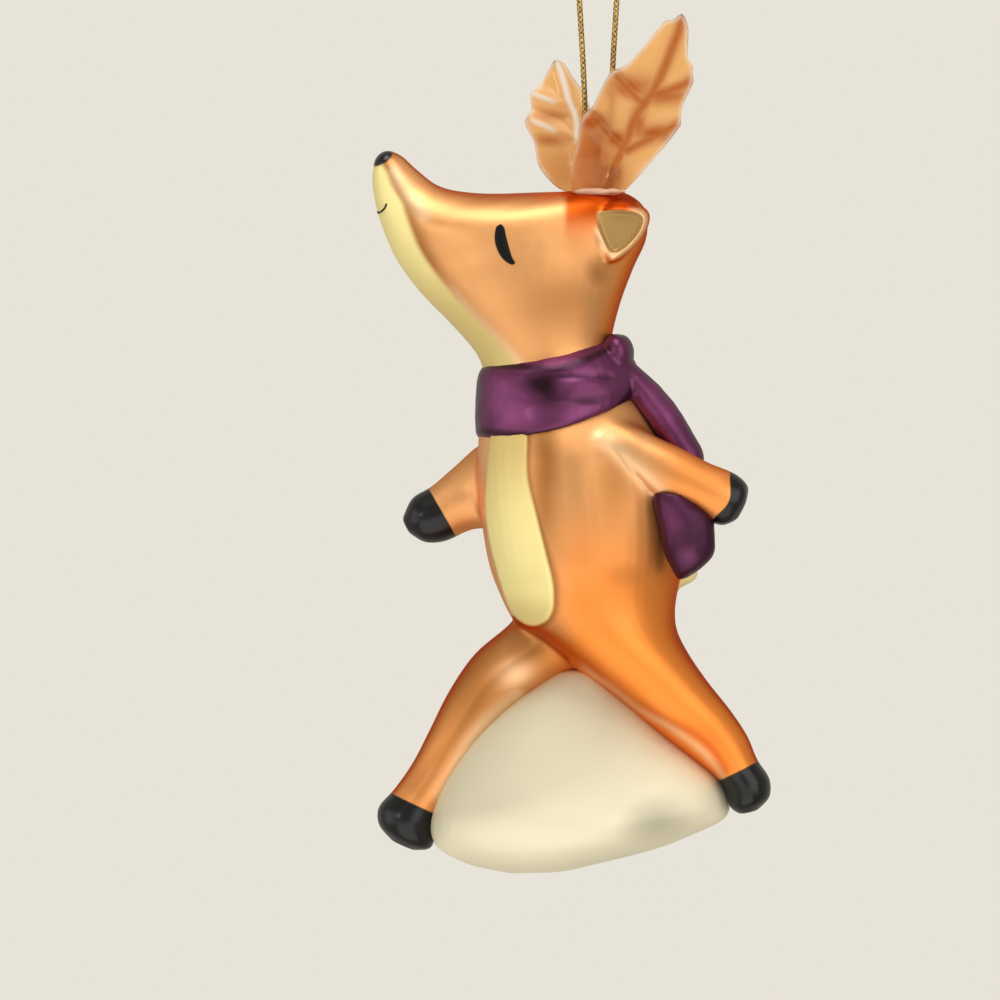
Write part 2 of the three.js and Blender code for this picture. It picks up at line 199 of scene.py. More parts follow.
class Ramp(NamedTuple):
    """A spray that eases in along Z, and along X where that is given, in millimetres about the crown."""

    weight: float
    rise: Span
    run: Span | None = None

    def share(self, x: np.ndarray, z: np.ndarray) -> np.ndarray:
        """How strong the spray is at each place."""
        share = self.weight * soft_step(*self.rise, z)
        return share if self.run is None else share * soft_step(*self.run, x)


def spots(*rows: Sequence[float]) -> tuple[Spot, ...]:
    """Rows of numbers as spots."""
    return tuple(Spot(*row) for row in rows)


class Rib(NamedTuple):
    """One closed section of a form, in millimetres about the crown."""

    front_x: float
    front_z: float
    back_x: float
    back_z: float
    middle_y: float
    half_depth: float


def ribs(*rows: Sequence[float]) -> tuple[Rib, ...]:
    """Rows of numbers as ribs."""
    return tuple(Rib(*row) for row in rows)


class Side(Enum):
    """The figure's two sides, by the sign of Y."""

    LEFT = -1
    RIGHT = 1


def select_only(objects: Sequence[bpy.types.Object]) -> None:
    """Selects some objects and no others.

    Args:
        objects: The objects, of which the first becomes the active one.
    """
    bpy.ops.object.select_all(action="DESELECT")
    for obj in objects:
        obj.select_set(True)
    bpy.context.view_layer.objects.active = objects[0]


def add_primitive(adder: Callable[..., set[str]], **settings: object) -> bpy.types.Object:
    """Adds one of Blender's primitive meshes.

    Args:
        adder: The operator that adds it.
        settings: Its settings by name.

    Returns:
        The new object, which alone is selected.
    """
    bpy.ops.object.select_all(action="DESELECT")
    adder(**settings)
    return bpy.context.object


@contextmanager
def editing(obj: bpy.types.Object) -> Iterator[None]:
    """Holds one object in edit mode.

    Args:
        obj: The mesh, which alone is selected.

    Returns:
        Nothing that is used; edit mode ends with the block.
    """
    select_only([obj])
    bpy.ops.object.mode_set(mode="EDIT")
    yield
    bpy.ops.object.mode_set(mode="OBJECT")


def face_outward(obj: bpy.types.Object) -> None:
    """Turns all faces of a closed mesh outwards."""
    with editing(obj):
        bpy.ops.mesh.select_all(action="SELECT")
        bpy.ops.mesh.normals_make_consistent(inside=False)


def apply_modifier(obj: bpy.types.Object, kind: str, **settings: object) -> None:
    """Adds a modifier with its settings and applies it.

    Args:
        obj: The mesh that gets it.
        kind: Blender's name for the type of modifier.
        settings: Its settings by name.
    """
    select_only([obj])
    modifier = obj.modifiers.new(kind.lower(), kind)
    for key, value in settings.items():
        setattr(modifier, key, value)
    bpy.ops.object.modifier_apply(modifier=modifier.name)


def swell(obj: bpy.types.Object, name: str, lump: float, strength: float, mid_level: float) -> None:
    """Gives a mesh soft uneven lumps, as hand work leaves them.

    Args:
        obj: The mesh.
        name: Name of the pattern.
        lump: Millimetres across a lump.
        strength: Millimetres from the lowest lump to the highest.
        mid_level: The share of the pattern that stays in place.
    """
    lumps = bpy.data.textures.new(name, "CLOUDS")
    lumps.noise_scale = lump * MM
    apply_modifier(
        obj, "DISPLACE", texture=lumps, texture_coords="LOCAL", strength=strength * MM, mid_level=mid_level
    )


def cut_round(obj: bpy.types.Object, sides: int, radius: float, depth: float, at: Sequence[float], turn: float) -> None:
    """Cuts a round upright hole.

    Args:
        obj: The mesh that gets it.
        sides: Corners of the hole.
        radius: Its radius in millimetres.
        depth: Its length in millimetres.
        at: Its middle, in millimetres about the crown.
        turn: How far its corners are turned about its axis, in radians.
    """
    tool = add_primitive(
        bpy.ops.mesh.primitive_cylinder_add,
        vertices=sides,
        radius=radius * MM,
        depth=depth * MM,
        location=on_figure(at),
        rotation=(0, 0, turn),
    )
    apply_modifier(obj, "BOOLEAN", object=tool, operation="DIFFERENCE")
    bpy.data.objects.remove(tool)


def read_rows(items: bpy.types.bpy_prop_collection, value: str) -> np.ndarray:
    """Reads one value of three numbers from each item of a mesh.

    Args:
        items: The items, such as vertices.
        value: Blender's name for the value.

    Returns:
        One row for each item.
    """
    flat = np.zeros(3 * len(items), np.float32)
    items.foreach_get(value, flat)
    return flat.reshape(-1, 3).astype(float)


def corners(obj: bpy.types.Object) -> np.ndarray:
    """A mesh's vertices in metres, one row each."""
    return read_rows(obj.data.vertices, "co")


def figure_corners(obj: bpy.types.Object) -> np.ndarray:
    """A mesh's vertices in millimetres about the crown, one row each."""
    return (corners(obj) + np.array((0, 0, CROWN_DROP))) / MM


def facing(obj: bpy.types.Object) -> np.ndarray:
    """A mesh's vertex normals, one row each."""
    return read_rows(obj.data.vertex_normals, "vector")


def put_corners(obj: bpy.types.Object, places: np.ndarray) -> None:
    """Moves a mesh's vertices to these places."""
    obj.data.vertices.foreach_set("co", places.astype(np.float32).ravel())
    obj.data.update()


def paint(obj: bpy.types.Object, name: str, shares: np.ndarray) -> None:
    """Stores one share for each vertex, for a material to read by name."""
    layer = obj.data.attributes.new(name, "FLOAT", "POINT")
    layer.data.foreach_set("value", np.clip(shares, 0, 1).astype(np.float32))


def strongest(*shares: np.ndarray) -> np.ndarray:
    """The largest of some shares at each place."""
    return np.maximum.reduce(shares)


def finish_piece(
    obj: bpy.types.Object, name: str, body: str, material: bpy.types.Material
) -> bpy.types.Object:
    """Names a piece, dresses it, shades it smooth and lets it ride on its body.

    Args:
        obj: The finished mesh.
        name: The piece's name.
        body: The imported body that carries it.
        material: Its material.

    Returns:
        The same object.
    """
    obj.name = name
    obj.data.name = name
    obj.data.materials.clear()
    obj.data.materials.append(material)
    select_only([obj])
    bpy.ops.object.shade_smooth()
    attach(obj, body)
    LOG.info("%s: %d faces on %s", name, len(obj.data.polygons), body)
    return obj


def rib_rings(form: Sequence[Rib]) -> np.ndarray:
    """The rings of a smooth skin over ribs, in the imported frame.

    Args:
        form: The sections that it passes through.

    Returns:
        An array of rings, corners and coordinates.
    """
    at = np.linspace(0, len(form) - 1, (len(form) - 1) * RINGS_PER_RIB + 1)
    front = spline([(r.front_x, r.middle_y, r.front_z) for r in form], at)
    back = spline([(r.back_x, r.middle_y, r.back_z) for r in form], at)
    depth = spline([(r.half_depth, i) for i, r in enumerate(form)], at)[:, 0]
    middle, half = (front + back) / 2, (back - front) / 2
    angle = 2 * math.pi * np.arange(RING_SIDES) / RING_SIDES
    ring = middle[:, None] + half[:, None] * np.cos(angle)[None, :, None]
    ring[..., 1] += depth[:, None] * np.sin(angle)[None]
    return on_figure(ring)


def draw_skin(rings: np.ndarray) -> bpy.types.Object:
    """A closed skin, drawn out ring by ring from a filled circle.

    Args:
        rings: Where each ring's corners go.

    Returns:
        The new object.
    """
    obj = add_primitive(bpy.ops.mesh.primitive_circle_add, vertices=len(rings[0]), radius=MM, fill_type="NGON")
    with editing(obj):
        mesh = bmesh.from_edit_mesh(obj.data)
        mesh.verts.ensure_lookup_table()
        for corner, place in zip(mesh.verts, rings[0]):
            corner.co = place
        order = {tuple(corner.co): i for i, corner in enumerate(mesh.verts)}
        for ring in rings[1:]:
            bpy.ops.mesh.extrude_region_move()
            mesh = bmesh.from_edit_mesh(obj.data)
            drawn = [corner for corner in mesh.verts if corner.select]
            numbers = [order[tuple(corner.co)] for corner in drawn]
            for corner, number in zip(drawn, numbers):
                corner.co = ring[number]
            order = {tuple(corner.co): number for corner, number in zip(drawn, numbers)}
    face_outward(obj)
    return obj


def fuse(skins: Sequence[bpy.types.Object], voxel: float, relaxing: int) -> bpy.types.Object:
    """One even skin over overlapping skins, with soft joins, as glass blown in one mould.

    Args:
        skins: Closed meshes that overlap.
        voxel: Edge length of the new mesh, in millimetres.
        relaxing: How many times the new mesh is smoothed.

    Returns:
        The first object, with the new mesh.
    """
    select_only(skins)
    if len(skins) > 1:
        bpy.ops.object.join()
    obj = skins[0]
    apply_modifier(obj, "REMESH", mode="VOXEL", voxel_size=voxel * MM)
    apply_modifier(obj, "SMOOTH", factor=0.5, iterations=relaxing)
    return obj


def add_node(
    tree: bpy.types.NodeTree,
    kind: str,
    settings: Settings | None = None,
    links: Links | None = None,
    output: str | int = 0,
) -> bpy.types.NodeSocket | None:
    """Adds one node with its settings and links.

    Args:
        tree: The tree that gets the node.
        kind: Blender's name for the type of node, without the words that all types start with.
        settings: Values by property name, or by the name or number of an input.
        links: Outputs of other nodes by the name or number of the input that they feed.
        output: The name or number of the output that is wanted.

    Returns:
        That output, or nothing from a node that has none.
    """
    node = tree.nodes.new("ShaderNode" + kind)
    for key, value in (settings or {}).items():
        if isinstance(key, str) and hasattr(node, key):
            setattr(node, key, value)
        else:
            node.inputs[key].default_value = value
    for key, socket in (links or {}).items():
        tree.links.new(socket, node.inputs[key])
    return node.outputs[output] if len(node.outputs) else None


def new_material(name: str) -> tuple[bpy.types.Material, bpy.types.NodeTree, bpy.types.NodeSocket]:
    """Makes an empty node material.

    Args:
        name: The material's name.

    Returns:
        The material, its tree and the place on the piece that its patterns go by.
    """
    material = bpy.data.materials.new(name)
    material.use_nodes = True
    tree = material.node_tree
    tree.nodes.clear()
    return material, tree, add_node(tree, "TexCoord", output="Object")


def lay_surface(
    tree: bpy.types.NodeTree, settings: Settings, links: Links, relief: tuple[bpy.types.NodeSocket, float, float]
) -> None:
    """Ends a material: its relief, its surface and its output.

    Args:
        tree: The material's tree.
        settings: Values of the surface by the name of the input.
        links: What feeds the surface, by the name of the input.
        relief: The pattern of the relief, its strength and its height in millimetres.
    """
    pattern, strength, height = relief
    bump = add_node(tree, "Bump", {"Strength": strength, "Distance": height * MM}, {"Height": pattern})
    surface = add_node(tree, "BsdfPrincipled", settings, {**links, "Normal": bump})
    add_node(tree, "OutputMaterial", links={"Surface": surface})


class Tone(NamedTuple):
    """One coat over the orange lacquer: the attribute that it reads, its colour, how it shines and its edge."""

    name: str
    colour: str
    metallic: float
    roughness: float
    blur: float  # half the width of a masked edge as a share of the stored range, or 0 for a soft spray


@dataclass(frozen=True)
class SatinLacquer:
    """Orange pearl lacquer sprayed on silvered glass: the silver shows through as a soft metal glow.

    Soft sprays of brighter orange, of brown umber that is painted shade, of deep red-orange that is partly painted
    shade at
    the outline and of pale peach painted highlights lie over it. Cream, gold and black are masked, so their edges are
    crisp:
    each is stored as a distance from its edge, half way up the stored range.
    """

    orange: str = "e3a469"
    glow: str = "f0903c"  # tint of the silver at a glancing angle
    plain_glow: str = "ffffff"  # the same on the masked coats, which let no silver through
    tones: tuple[Tone, ...] = (
        Tone("blush", "ee8c3c", 0.75, 0.43, 0.0),
        # Brown umber: painted shade
        Tone("umber_shade", "99602c", 0.7, 0.43, 0.0),
        # Deep red-orange: the crown's own paint, and painted shade at the outline and in the fold
        Tone("edge", "c04e0d", 0.92, 0.4, 0.0),
        # Pale peach: painted highlights
        Tone("highlight", "ffdcae", 0.75, 0.4, 0.0),
        Tone("cream", "f4e296", 0.15, 0.43, 0.08),
        # Tan on the cream: painted shade
        Tone("tan_shade", "c8a860", 0.15, 0.43, 0.0),
        Tone("gold", "a8834a", 0.25, 0.43, 0.04),
        Tone("black", "040405", 0.0, 0.3, 0.04),
    )
    metallic: float = 0.7
    roughness: float = 0.43
    unevenness: float = 0.05  # of both, from cloud to cloud
    mottle: float = 1.6  # millimetres across a cloud in the pearl
    mottle_share: float = 0.08
    peel: float = 0.5  # millimetres across a dimple of the sprayed coat, coarser than real, so that it shows

    def material(self) -> bpy.types.Material:
        """Makes the lacquer's material.

        Returns:
            The material.
        """
        made, tree, place = new_material("satin_pearl_lacquer")
        clouds = add_node(tree, "TexNoise", {"Scale": 1 / (self.mottle * MM), "Detail": 3.0}, {"Vector": place})
        pearl = {"data_type": "RGBA", "blend_type": "OVERLAY", 0: self.mottle_share, 6: linear(self.orange)}
        colour = add_node(tree, "Mix", pearl, {7: clouds}, output=2)
        metal, rough = (
            add_node(
                tree, "MapRange", {"To Min": own - self.unevenness, "To Max": own + self.unevenness}, {"Value": clouds}
            )
            for own in (self.metallic, self.roughness)
        )
        glow = None
        for tone in self.tones:
            share = add_node(tree, "Attribute", {"attribute_name": tone.name}, output="Fac")
            if tone.blur:
                span = {"interpolation_type": "SMOOTHSTEP", "From Min": 0.5 - tone.blur, "From Max": 0.5 + tone.blur}
                share = add_node(tree, "MapRange", span, {"Value": share})
                tints = {"data_type": "RGBA", 6: linear(self.glow), 7: linear(self.plain_glow)}
                glow = add_node(tree, "Mix", tints, {0: share, 6: glow} if glow is not None else {0: share}, output=2)
            coat = {"data_type": "RGBA", 7: linear(tone.colour)}
            colour = add_node(tree, "Mix", coat, {0: share, 6: colour}, output=2)
            metal = add_node(tree, "Mix", {3: tone.metallic}, {0: share, 2: metal})
            rough = add_node(tree, "Mix", {3: tone.roughness}, {0: share, 2: rough})
        grain = add_node(tree, "TexNoise", {"Scale": 1 / (self.peel * MM), "Detail": 2.0}, {"Vector": place})
        lay_surface(
            tree,
            {"Specular IOR Level": 0.35, "Coat Weight": 0.06, "Coat Roughness": 0.25},
            {"Base Color": colour, "Metallic": metal, "Specular Tint": glow, "Roughness": rough},
            relief=(grain, 0.1, 0.05),
        )
        return made


@dataclass(frozen=True)
class SprayedCoat:
    """A lacquer coat of one tone with clouds of a second one, which also colours the painted shade that the shade
    attribute lays on, for the scarf, the snow and the black strokes.
    """

    name: str
    tone: str
    cloud_and_shade_tone: str
    cloud: float  # millimetres across a cloud
    metallic: float
    roughness: float
    cloudiness: float = 1.0  # how strong the clouds are
    cloud_span: tuple[float, float] = (0.35, 0.7)  # of the pattern, from clear to full
    glint: float = 0.5  # specular level
    unevenness: float = 0.06  # of the roughness, from cloud to cloud
    peel: float = 0.4  # millimetres across a dimple of the sprayed coat, coarser than real, so that it shows

    def material(self) -> bpy.types.Material:
        """Makes the coat's material.

        Returns:
            The material.
        """
        made, tree, place = new_material(self.name)
        clouds = add_node(tree, "TexNoise", {"Scale": 1 / (self.cloud * MM), "Detail": 2.0}, {"Vector": place})
        span = {"From Min": self.cloud_span[0], "From Max": self.cloud_span[1], "To Max": self.cloudiness}
        spread = add_node(tree, "MapRange", span, {"Value": clouds})
        painted_shade = add_node(tree, "Attribute", {"attribute_name": "shade"}, output="Fac")
        share = add_node(tree, "Math", {"operation": "MAXIMUM"}, {0: spread, 1: painted_shade})
        tones = {"data_type": "RGBA", 6: linear(self.tone), 7: linear(self.cloud_and_shade_tone)}
        colour = add_node(tree, "Mix", tones, {0: share}, output=2)
        reach = {"To Min": self.roughness - self.unevenness, "To Max": self.roughness + self.unevenness}
        rough = add_node(tree, "MapRange", reach, {"Value": clouds})
        grain = add_node(tree, "TexNoise", {"Scale": 1 / (self.peel * MM), "Detail": 2.0}, {"Vector": place})
        lay_surface(
            tree,
            {"Metallic": self.metallic, "Specular IOR Level": self.glint},
            {"Base Color": colour, "Roughness": rough},
            relief=(grain, 0.06, 0.05),
        )
        return made


@dataclass(frozen=True)
class ClearCast:
    """Clear tinted casting, for the amber acrylic leaves and the set glue: light passes and picks up the tint."""

    name: str
    tint: str
    deep_tint: str  # where the casting is thick, as along a vein; also the leaves' painted shade and the glue's painted glow from the leaf
    highlight_tint: str  # painted highlight, along a rim and on a glinting crest
    ior: float
    transmission: float
    roughness: float
    ripple: float  # millimetres across a ripple of the surface
    clouding: float = 0.2  # how much the ripples deepen the tint
    unevenness: float = 0.05  # of the roughness, from ripple to ripple

    def material(self) -> bpy.types.Material:
        """Makes the casting's material.

        Returns:
            The material.
        """
        made, tree, place = new_material(self.name)
        ripples = add_node(tree, "TexNoise", {"Scale": 1 / (self.ripple * MM), "Detail": 2.0}, {"Vector": place})
        deep_share, pale = (add_node(tree, "Attribute", {"attribute_name": n}, output="Fac") for n in ("deep_share", "pale"))
        deep = add_node(tree, "Math", {"operation": "MULTIPLY_ADD", 1: self.clouding}, {0: ripples, 2: deep_share})
        tints = {"data_type": "RGBA", 6: linear(self.tint), 7: linear(self.deep_tint)}
        colour = add_node(tree, "Mix", tints, {0: deep}, output=2)
        glint = {"data_type": "RGBA", 7: linear(self.highlight_tint)}
        colour = add_node(tree, "Mix", glint, {0: pale, 6: colour}, output=2)
        reach = {"To Min": self.roughness - self.unevenness, "To Max": self.roughness + self.unevenness}
        rough = add_node(tree, "MapRange", reach, {"Value": ripples})
        lay_surface(
            tree,
            {
                "IOR": self.ior,
                "Specular IOR Level": 0.12,
                "Specular Tint": linear(self.tint),
                "Transmission Weight": self.transmission,
                "Coat Weight": 0.4,
                "Coat Roughness": 0.06,
                "Coat IOR": 1.4,
            },
            {"Base Color": colour, "Roughness": rough},
            relief=(ripples, 0.2, 0.1),
        )
        return made


@dataclass(frozen=True)
class GiltMetal:
    """Thin gilding on pressed brass or drawn wire: gold, with darker lines where the work rubbed it."""

    name: str
    gold: str
    rubbed: str
    stretch: tuple[float, float, float]  # millimetres across a mark, along X, Y and Z
    roughness: float
    dulling: float = 0.1  # how much rougher the rubbed lines are
    polish: float = 0.08  # how much smoother the rest is

    def material(self) -> bpy.types.Material:
        """Makes the gilding's material.

        Returns:
            The material.
        """
        made, tree, place = new_material(self.name)
        fine = add_node(tree, "Mapping", {"Scale": tuple(1 / (s * MM) for s in self.stretch)}, {"Vector": place})
        marks = add_node(tree, "TexNoise", {"Scale": 1.0, "Detail": 3.0}, {"Vector": fine})
        golds = {"data_type": "RGBA", 6: linear(self.rubbed), 7: linear(self.gold)}
        colour = add_node(tree, "Mix", golds, {0: marks}, output=2)
        reach = {"To Min": self.roughness + self.dulling, "To Max": self.roughness - self.polish}
        rough = add_node(tree, "MapRange", reach, {"Value": marks})
        lay_surface(
            tree, {"Metallic": 1.0}, {"Base Color": colour, "Roughness": rough}, relief=(marks, 0.15, 0.03)
        )
        return made


@dataclass(frozen=True)
class MetallicBraid:
    """Braided metallic yarn: flat foil threads that glint on the crowns of the braid and go dark between them.
    The gold and the dark core are the yarn's own colours, but the colour follows the crowns: the glint is painted
    highlight and the dark between them painted shade.
    """

    foil: str = "d2b06a"
    core: str = "40311a"
    glint: float = 0.35  # millimetres along a turn of the foil on its thread
    glint_from: float = 0.18  # share of crown and foil where the glint starts
    glint_full: float = 0.5
    core_roughness: float = 0.6
    foil_roughness: float = 0.28

    def material(self) -> bpy.types.Material:
        """Makes the yarn's material.

        Returns:
            The material.
        """
        made, tree, place = new_material("braided_metallic_yarn")
        crown = add_node(tree, "Attribute", {"attribute_name": "crown"}, output="Fac")
        foil = add_node(tree, "TexNoise", {"Scale": 1 / (self.glint * MM), "Detail": 2.0}, {"Vector": place})
        highlit = add_node(tree, "Math", {"operation": "MULTIPLY"}, {0: crown, 1: foil})
        spread = add_node(tree, "MapRange", {"From Min": self.glint_from, "From Max": self.glint_full}, {"Value": highlit})
        tones = {"data_type": "RGBA", 6: linear(self.core), 7: linear(self.foil)}
        colour = add_node(tree, "Mix", tones, {0: spread}, output=2)
        reach = {"To Min": self.core_roughness, "To Max": self.foil_roughness}
        rough = add_node(tree, "MapRange", reach, {"Value": spread})
        lay_surface(
            tree, {"Metallic": 0.75}, {"Base Color": colour, "Roughness": rough}, relief=(foil, 0.3, 0.05)
        )
        return made


class Lamp(NamedTuple):
    """A soft square lamp that is turned to the object, in metres and watts."""

    name: str
    place: tuple[float, float, float]
    size: float
    power: float


@dataclass(frozen=True)
class Studio:
    """Camera at the photograph's angle, soft lamps and a plain pale floor under a pale world."""

    view_width: float = 0.170  # width of the picture at the object
    view_centre: tuple[float, float] = (-0.01666, -0.12836)  # X and Z at the middle of the picture
    distance: float = 1.6
    sensor: float = 36.0  # millimetres
    clip: tuple[float, float] = (0.01, 20.0)
    lamps: tuple[Lamp, ...] = (
        Lamp("key", (0.5, -0.65, 0.06), 0.8, 3.5),
        Lamp("ceiling", (-0.03, -0.12, 0.22), 0.24, 0.85),
        Lamp("fill", (-0.8, -0.2, -0.1), 0.7, 1.6),
        Lamp("sparkle", (-0.5, -0.6, 0.05), 0.12, 0.5),
        Lamp("bounce", (-0.1, -0.45, -0.6), 0.9, 3.0),
    )
    aim: tuple[float, float, float] = (-0.005, 0.0, -0.13)
    pale: str = "e8e3d8"
    world_shown: float = 1.0  # strength to the eye and through clear pieces
    world_mirrored: float = 0.6
    world_light: float = 0.36
    floor_height: float = -1.0
    floor_radius: float = 0.75
    floor_sides: int = 96
    floor_clouds: float = 12.0  # to the metre
    floor_roughness: tuple[float, float] = (0.8, 0.95)
    floor_glow: float = 0.4  # keeps the floor pale to the eye, without lighting the object

    def set_camera(self) -> None:
        """Makes the camera that sees what the photograph shows."""
        bpy.ops.object.camera_add(
            location=(self.view_centre[0], -self.distance, self.view_centre[1]), rotation=(math.pi / 2, 0, 0)
        )
        camera = bpy.context.object
        camera.data.sensor_width = self.sensor
        camera.data.lens = self.sensor * self.distance / self.view_width
        camera.data.clip_start, camera.data.clip_end = self.clip
        bpy.context.scene.camera = camera

    def hang_lamps(self) -> None:
        """Hangs the soft lamps round the object."""
        for name, place, size, power in self.lamps:
            lamp = bpy.data.lights.new(name, "AREA")
            lamp.size, lamp.energy = size, power
            obj = bpy.data.objects.new(name, lamp)
            bpy.context.collection.objects.link(obj)
            way = Vector(self.aim) - Vector(place)
            obj.matrix_world = Matrix.Translation(place) @ way.to_track_quat("-Z", "Y").to_matrix().to_4x4()

    def set_world(self) -> None:
        """Sets a pale world: as written to the eye and through clear pieces, and softer as light."""
        world = bpy.data.worlds.new("pale_room")
        bpy.context.scene.world = world
        world.use_nodes = True
        tree = world.node_tree
        tree.nodes.clear()
        camera, clear, glossy = (
            add_node(tree, "LightPath", output=f"Is {ray} Ray") for ray in ("Camera", "Transmission", "Glossy")
        )
        seen = add_node(tree, "Math", {"operation": "MAXIMUM"}, {0: camera, 1: clear})
        reach = {"To Min": self.world_light, "To Max": self.world_shown}
        shown = add_node(tree, "MapRange", reach, {"Value": seen})
        mirrored = add_node(tree, "Math", {"operation": "MULTIPLY", 1: self.world_mirrored}, {0: glossy})
        strength = add_node(tree, "Math", {"operation": "MAXIMUM"}, {0: shown, 1: mirrored})
        light = add_node(tree, "Background", {"Color": linear(self.pale)}, {"Strength": strength})
        add_node(tree, "OutputWorld", links={"Surface": light})

    def lay_floor(self) -> None:
        """Lays the pale floor under the hanging object."""
        floor = add_primitive(
            bpy.ops.mesh.primitive_circle_add,
            vertices=self.floor_sides,
            radius=self.floor_radius,
            fill_type="NGON",
            location=(0, 0, self.floor_height),
        )
        floor.name = "floor"
        made, tree, place = new_material("matt_paint")
        clouds = add_node(tree, "TexNoise", {"Scale": self.floor_clouds, "Detail": 3.0}, {"Vector": place})
        smooth, matt = self.floor_roughness
        rough = add_node(tree, "MapRange", {"To Min": smooth, "To Max": matt}, {"Value": clouds})
        camera = add_node(tree, "LightPath", output="Is Camera Ray")
        seen = add_node(tree, "Math", {"operation": "MULTIPLY", 1: self.floor_glow}, {0: camera})
        paint_tone = {"Base Color": linear(self.pale), "Emission Color": linear(self.pale)}
        surface = add_node(tree, "BsdfPrincipled", paint_tone, {"Roughness": rough, "Emission Strength": seen})
        add_node(tree, "OutputMaterial", links={"Surface": surface})
        floor.data.materials.append(made)

    def build(self) -> None:
        """Builds the whole studio."""
        self.set_camera()
        self.hang_lamps()
        self.set_world()
        self.lay_floor()
        bpy.context.scene.view_settings.view_transform = "Standard"


# Dense black enamel brushed on the lacquer: nearly matt, so that the face's strokes stay black under the lamps
BLACK_ENAMEL = SprayedCoat(
    "black_enamel", "080808", "0e0d0d", cloud=2.0, metallic=0.0, roughness=0.45, glint=0.15
)
# Purple pearl over the silver: a soft metal sheen, with painted shade of deep plum in the folds, at the edges and under
# the arm
PURPLE_PEARL = SprayedCoat(
    "purple_pearl_lacquer", "7e3d68", "240a18", cloud=7.0, metallic=0.6, roughness=0.35, cloudiness=0.45, glint=0.3
)
# Thick white pearl: milky and soft, with painted shade of warm grey in its hollow, along the front leg and on its crest
WHITE_PEARL = SprayedCoat(
    "white_pearl_lacquer", "f6ecca", "a09880", cloud=26.0, metallic=0.15, roughness=0.5, cloudiness=0.15
)
# Cast acrylic, dyed amber: it glows where it is thin and goes to brown along the veins, with painted highlights on its
# rims and crests and painted shade in spots
AMBER_ACRYLIC = ClearCast(
    "cast_amber_acrylic", "ffca82", "c05c0a", "fffaf0", ior=1.49, transmission=0.74, roughness=0.33, ripple=3.0
)
# Set glue: a cloudy bead, peach at the glass and amber where the leaf shines into it
CLEAR_GLUE = ClearCast(
    "set_clear_glue", "ffd0ac", "cc7832", "f8d4b4", ior=1.47, transmission=0.45, roughness=0.35, ripple=1.2
)
# Pressed brass, gilt: bright gold with upright rub marks of the press
PRESSED_BRASS = GiltMetal("gilt_pressed_brass", "d9a850", "a87428", stretch=(0.8, 0.8, 2.5), roughness=0.28)
# Drawn spring wire, gilt: paler gold with long fine drawing lines
DRAWN_WIRE = GiltMetal("gilt_drawn_wire", "cfae6a", "8f7238", stretch=(0.4, 0.4, 3.0), roughness=0.25)


class Zone(NamedTuple):
    """A part of the figure by its bounds in X and Z, in millimetres about the crown; an open side is infinite."""

    x_from: float
    x_to: float
    z_from: float
    z_to: float

    def holds(self, x: np.ndarray, z: np.ndarray) -> np.ndarray:
        """Which places lie in the zone."""
        return (x > self.x_from) & (x < self.x_to) & (z > self.z_from) & (z < self.z_to)


class Hoof(NamedTuple):
    """The black of one hoof, in millimetres about the crown."""

    middle: tuple[float, float, float]
    reach: float
    start: tuple[float, float, float]  # a place on the black's edge
    towards: tuple[float, float, float]  # the way from there to the tip
    bulge: float  # how far the edge bulges that way


class Canvas(NamedTuple):
    """What the masks and sprays go by: each vertex of the skin in millimetres about the crown, and its facing."""

    x: np.ndarray
    y: np.ndarray
    z: np.ndarray
    ahead: np.ndarray  # X of the normal, negative towards the nose
    aside: np.ndarray  # size of the normal's Y: 1 on a flank, 0 on the outline
    muzzle: np.ndarray  # how far inside the cream of the muzzle
    plate: np.ndarray  # how far inside the belly plate


ARM_RIDGE: Points = ((0.4, -42.0), (2.8, -43.5), (6.2, -47.0), (9.8, -51.0))


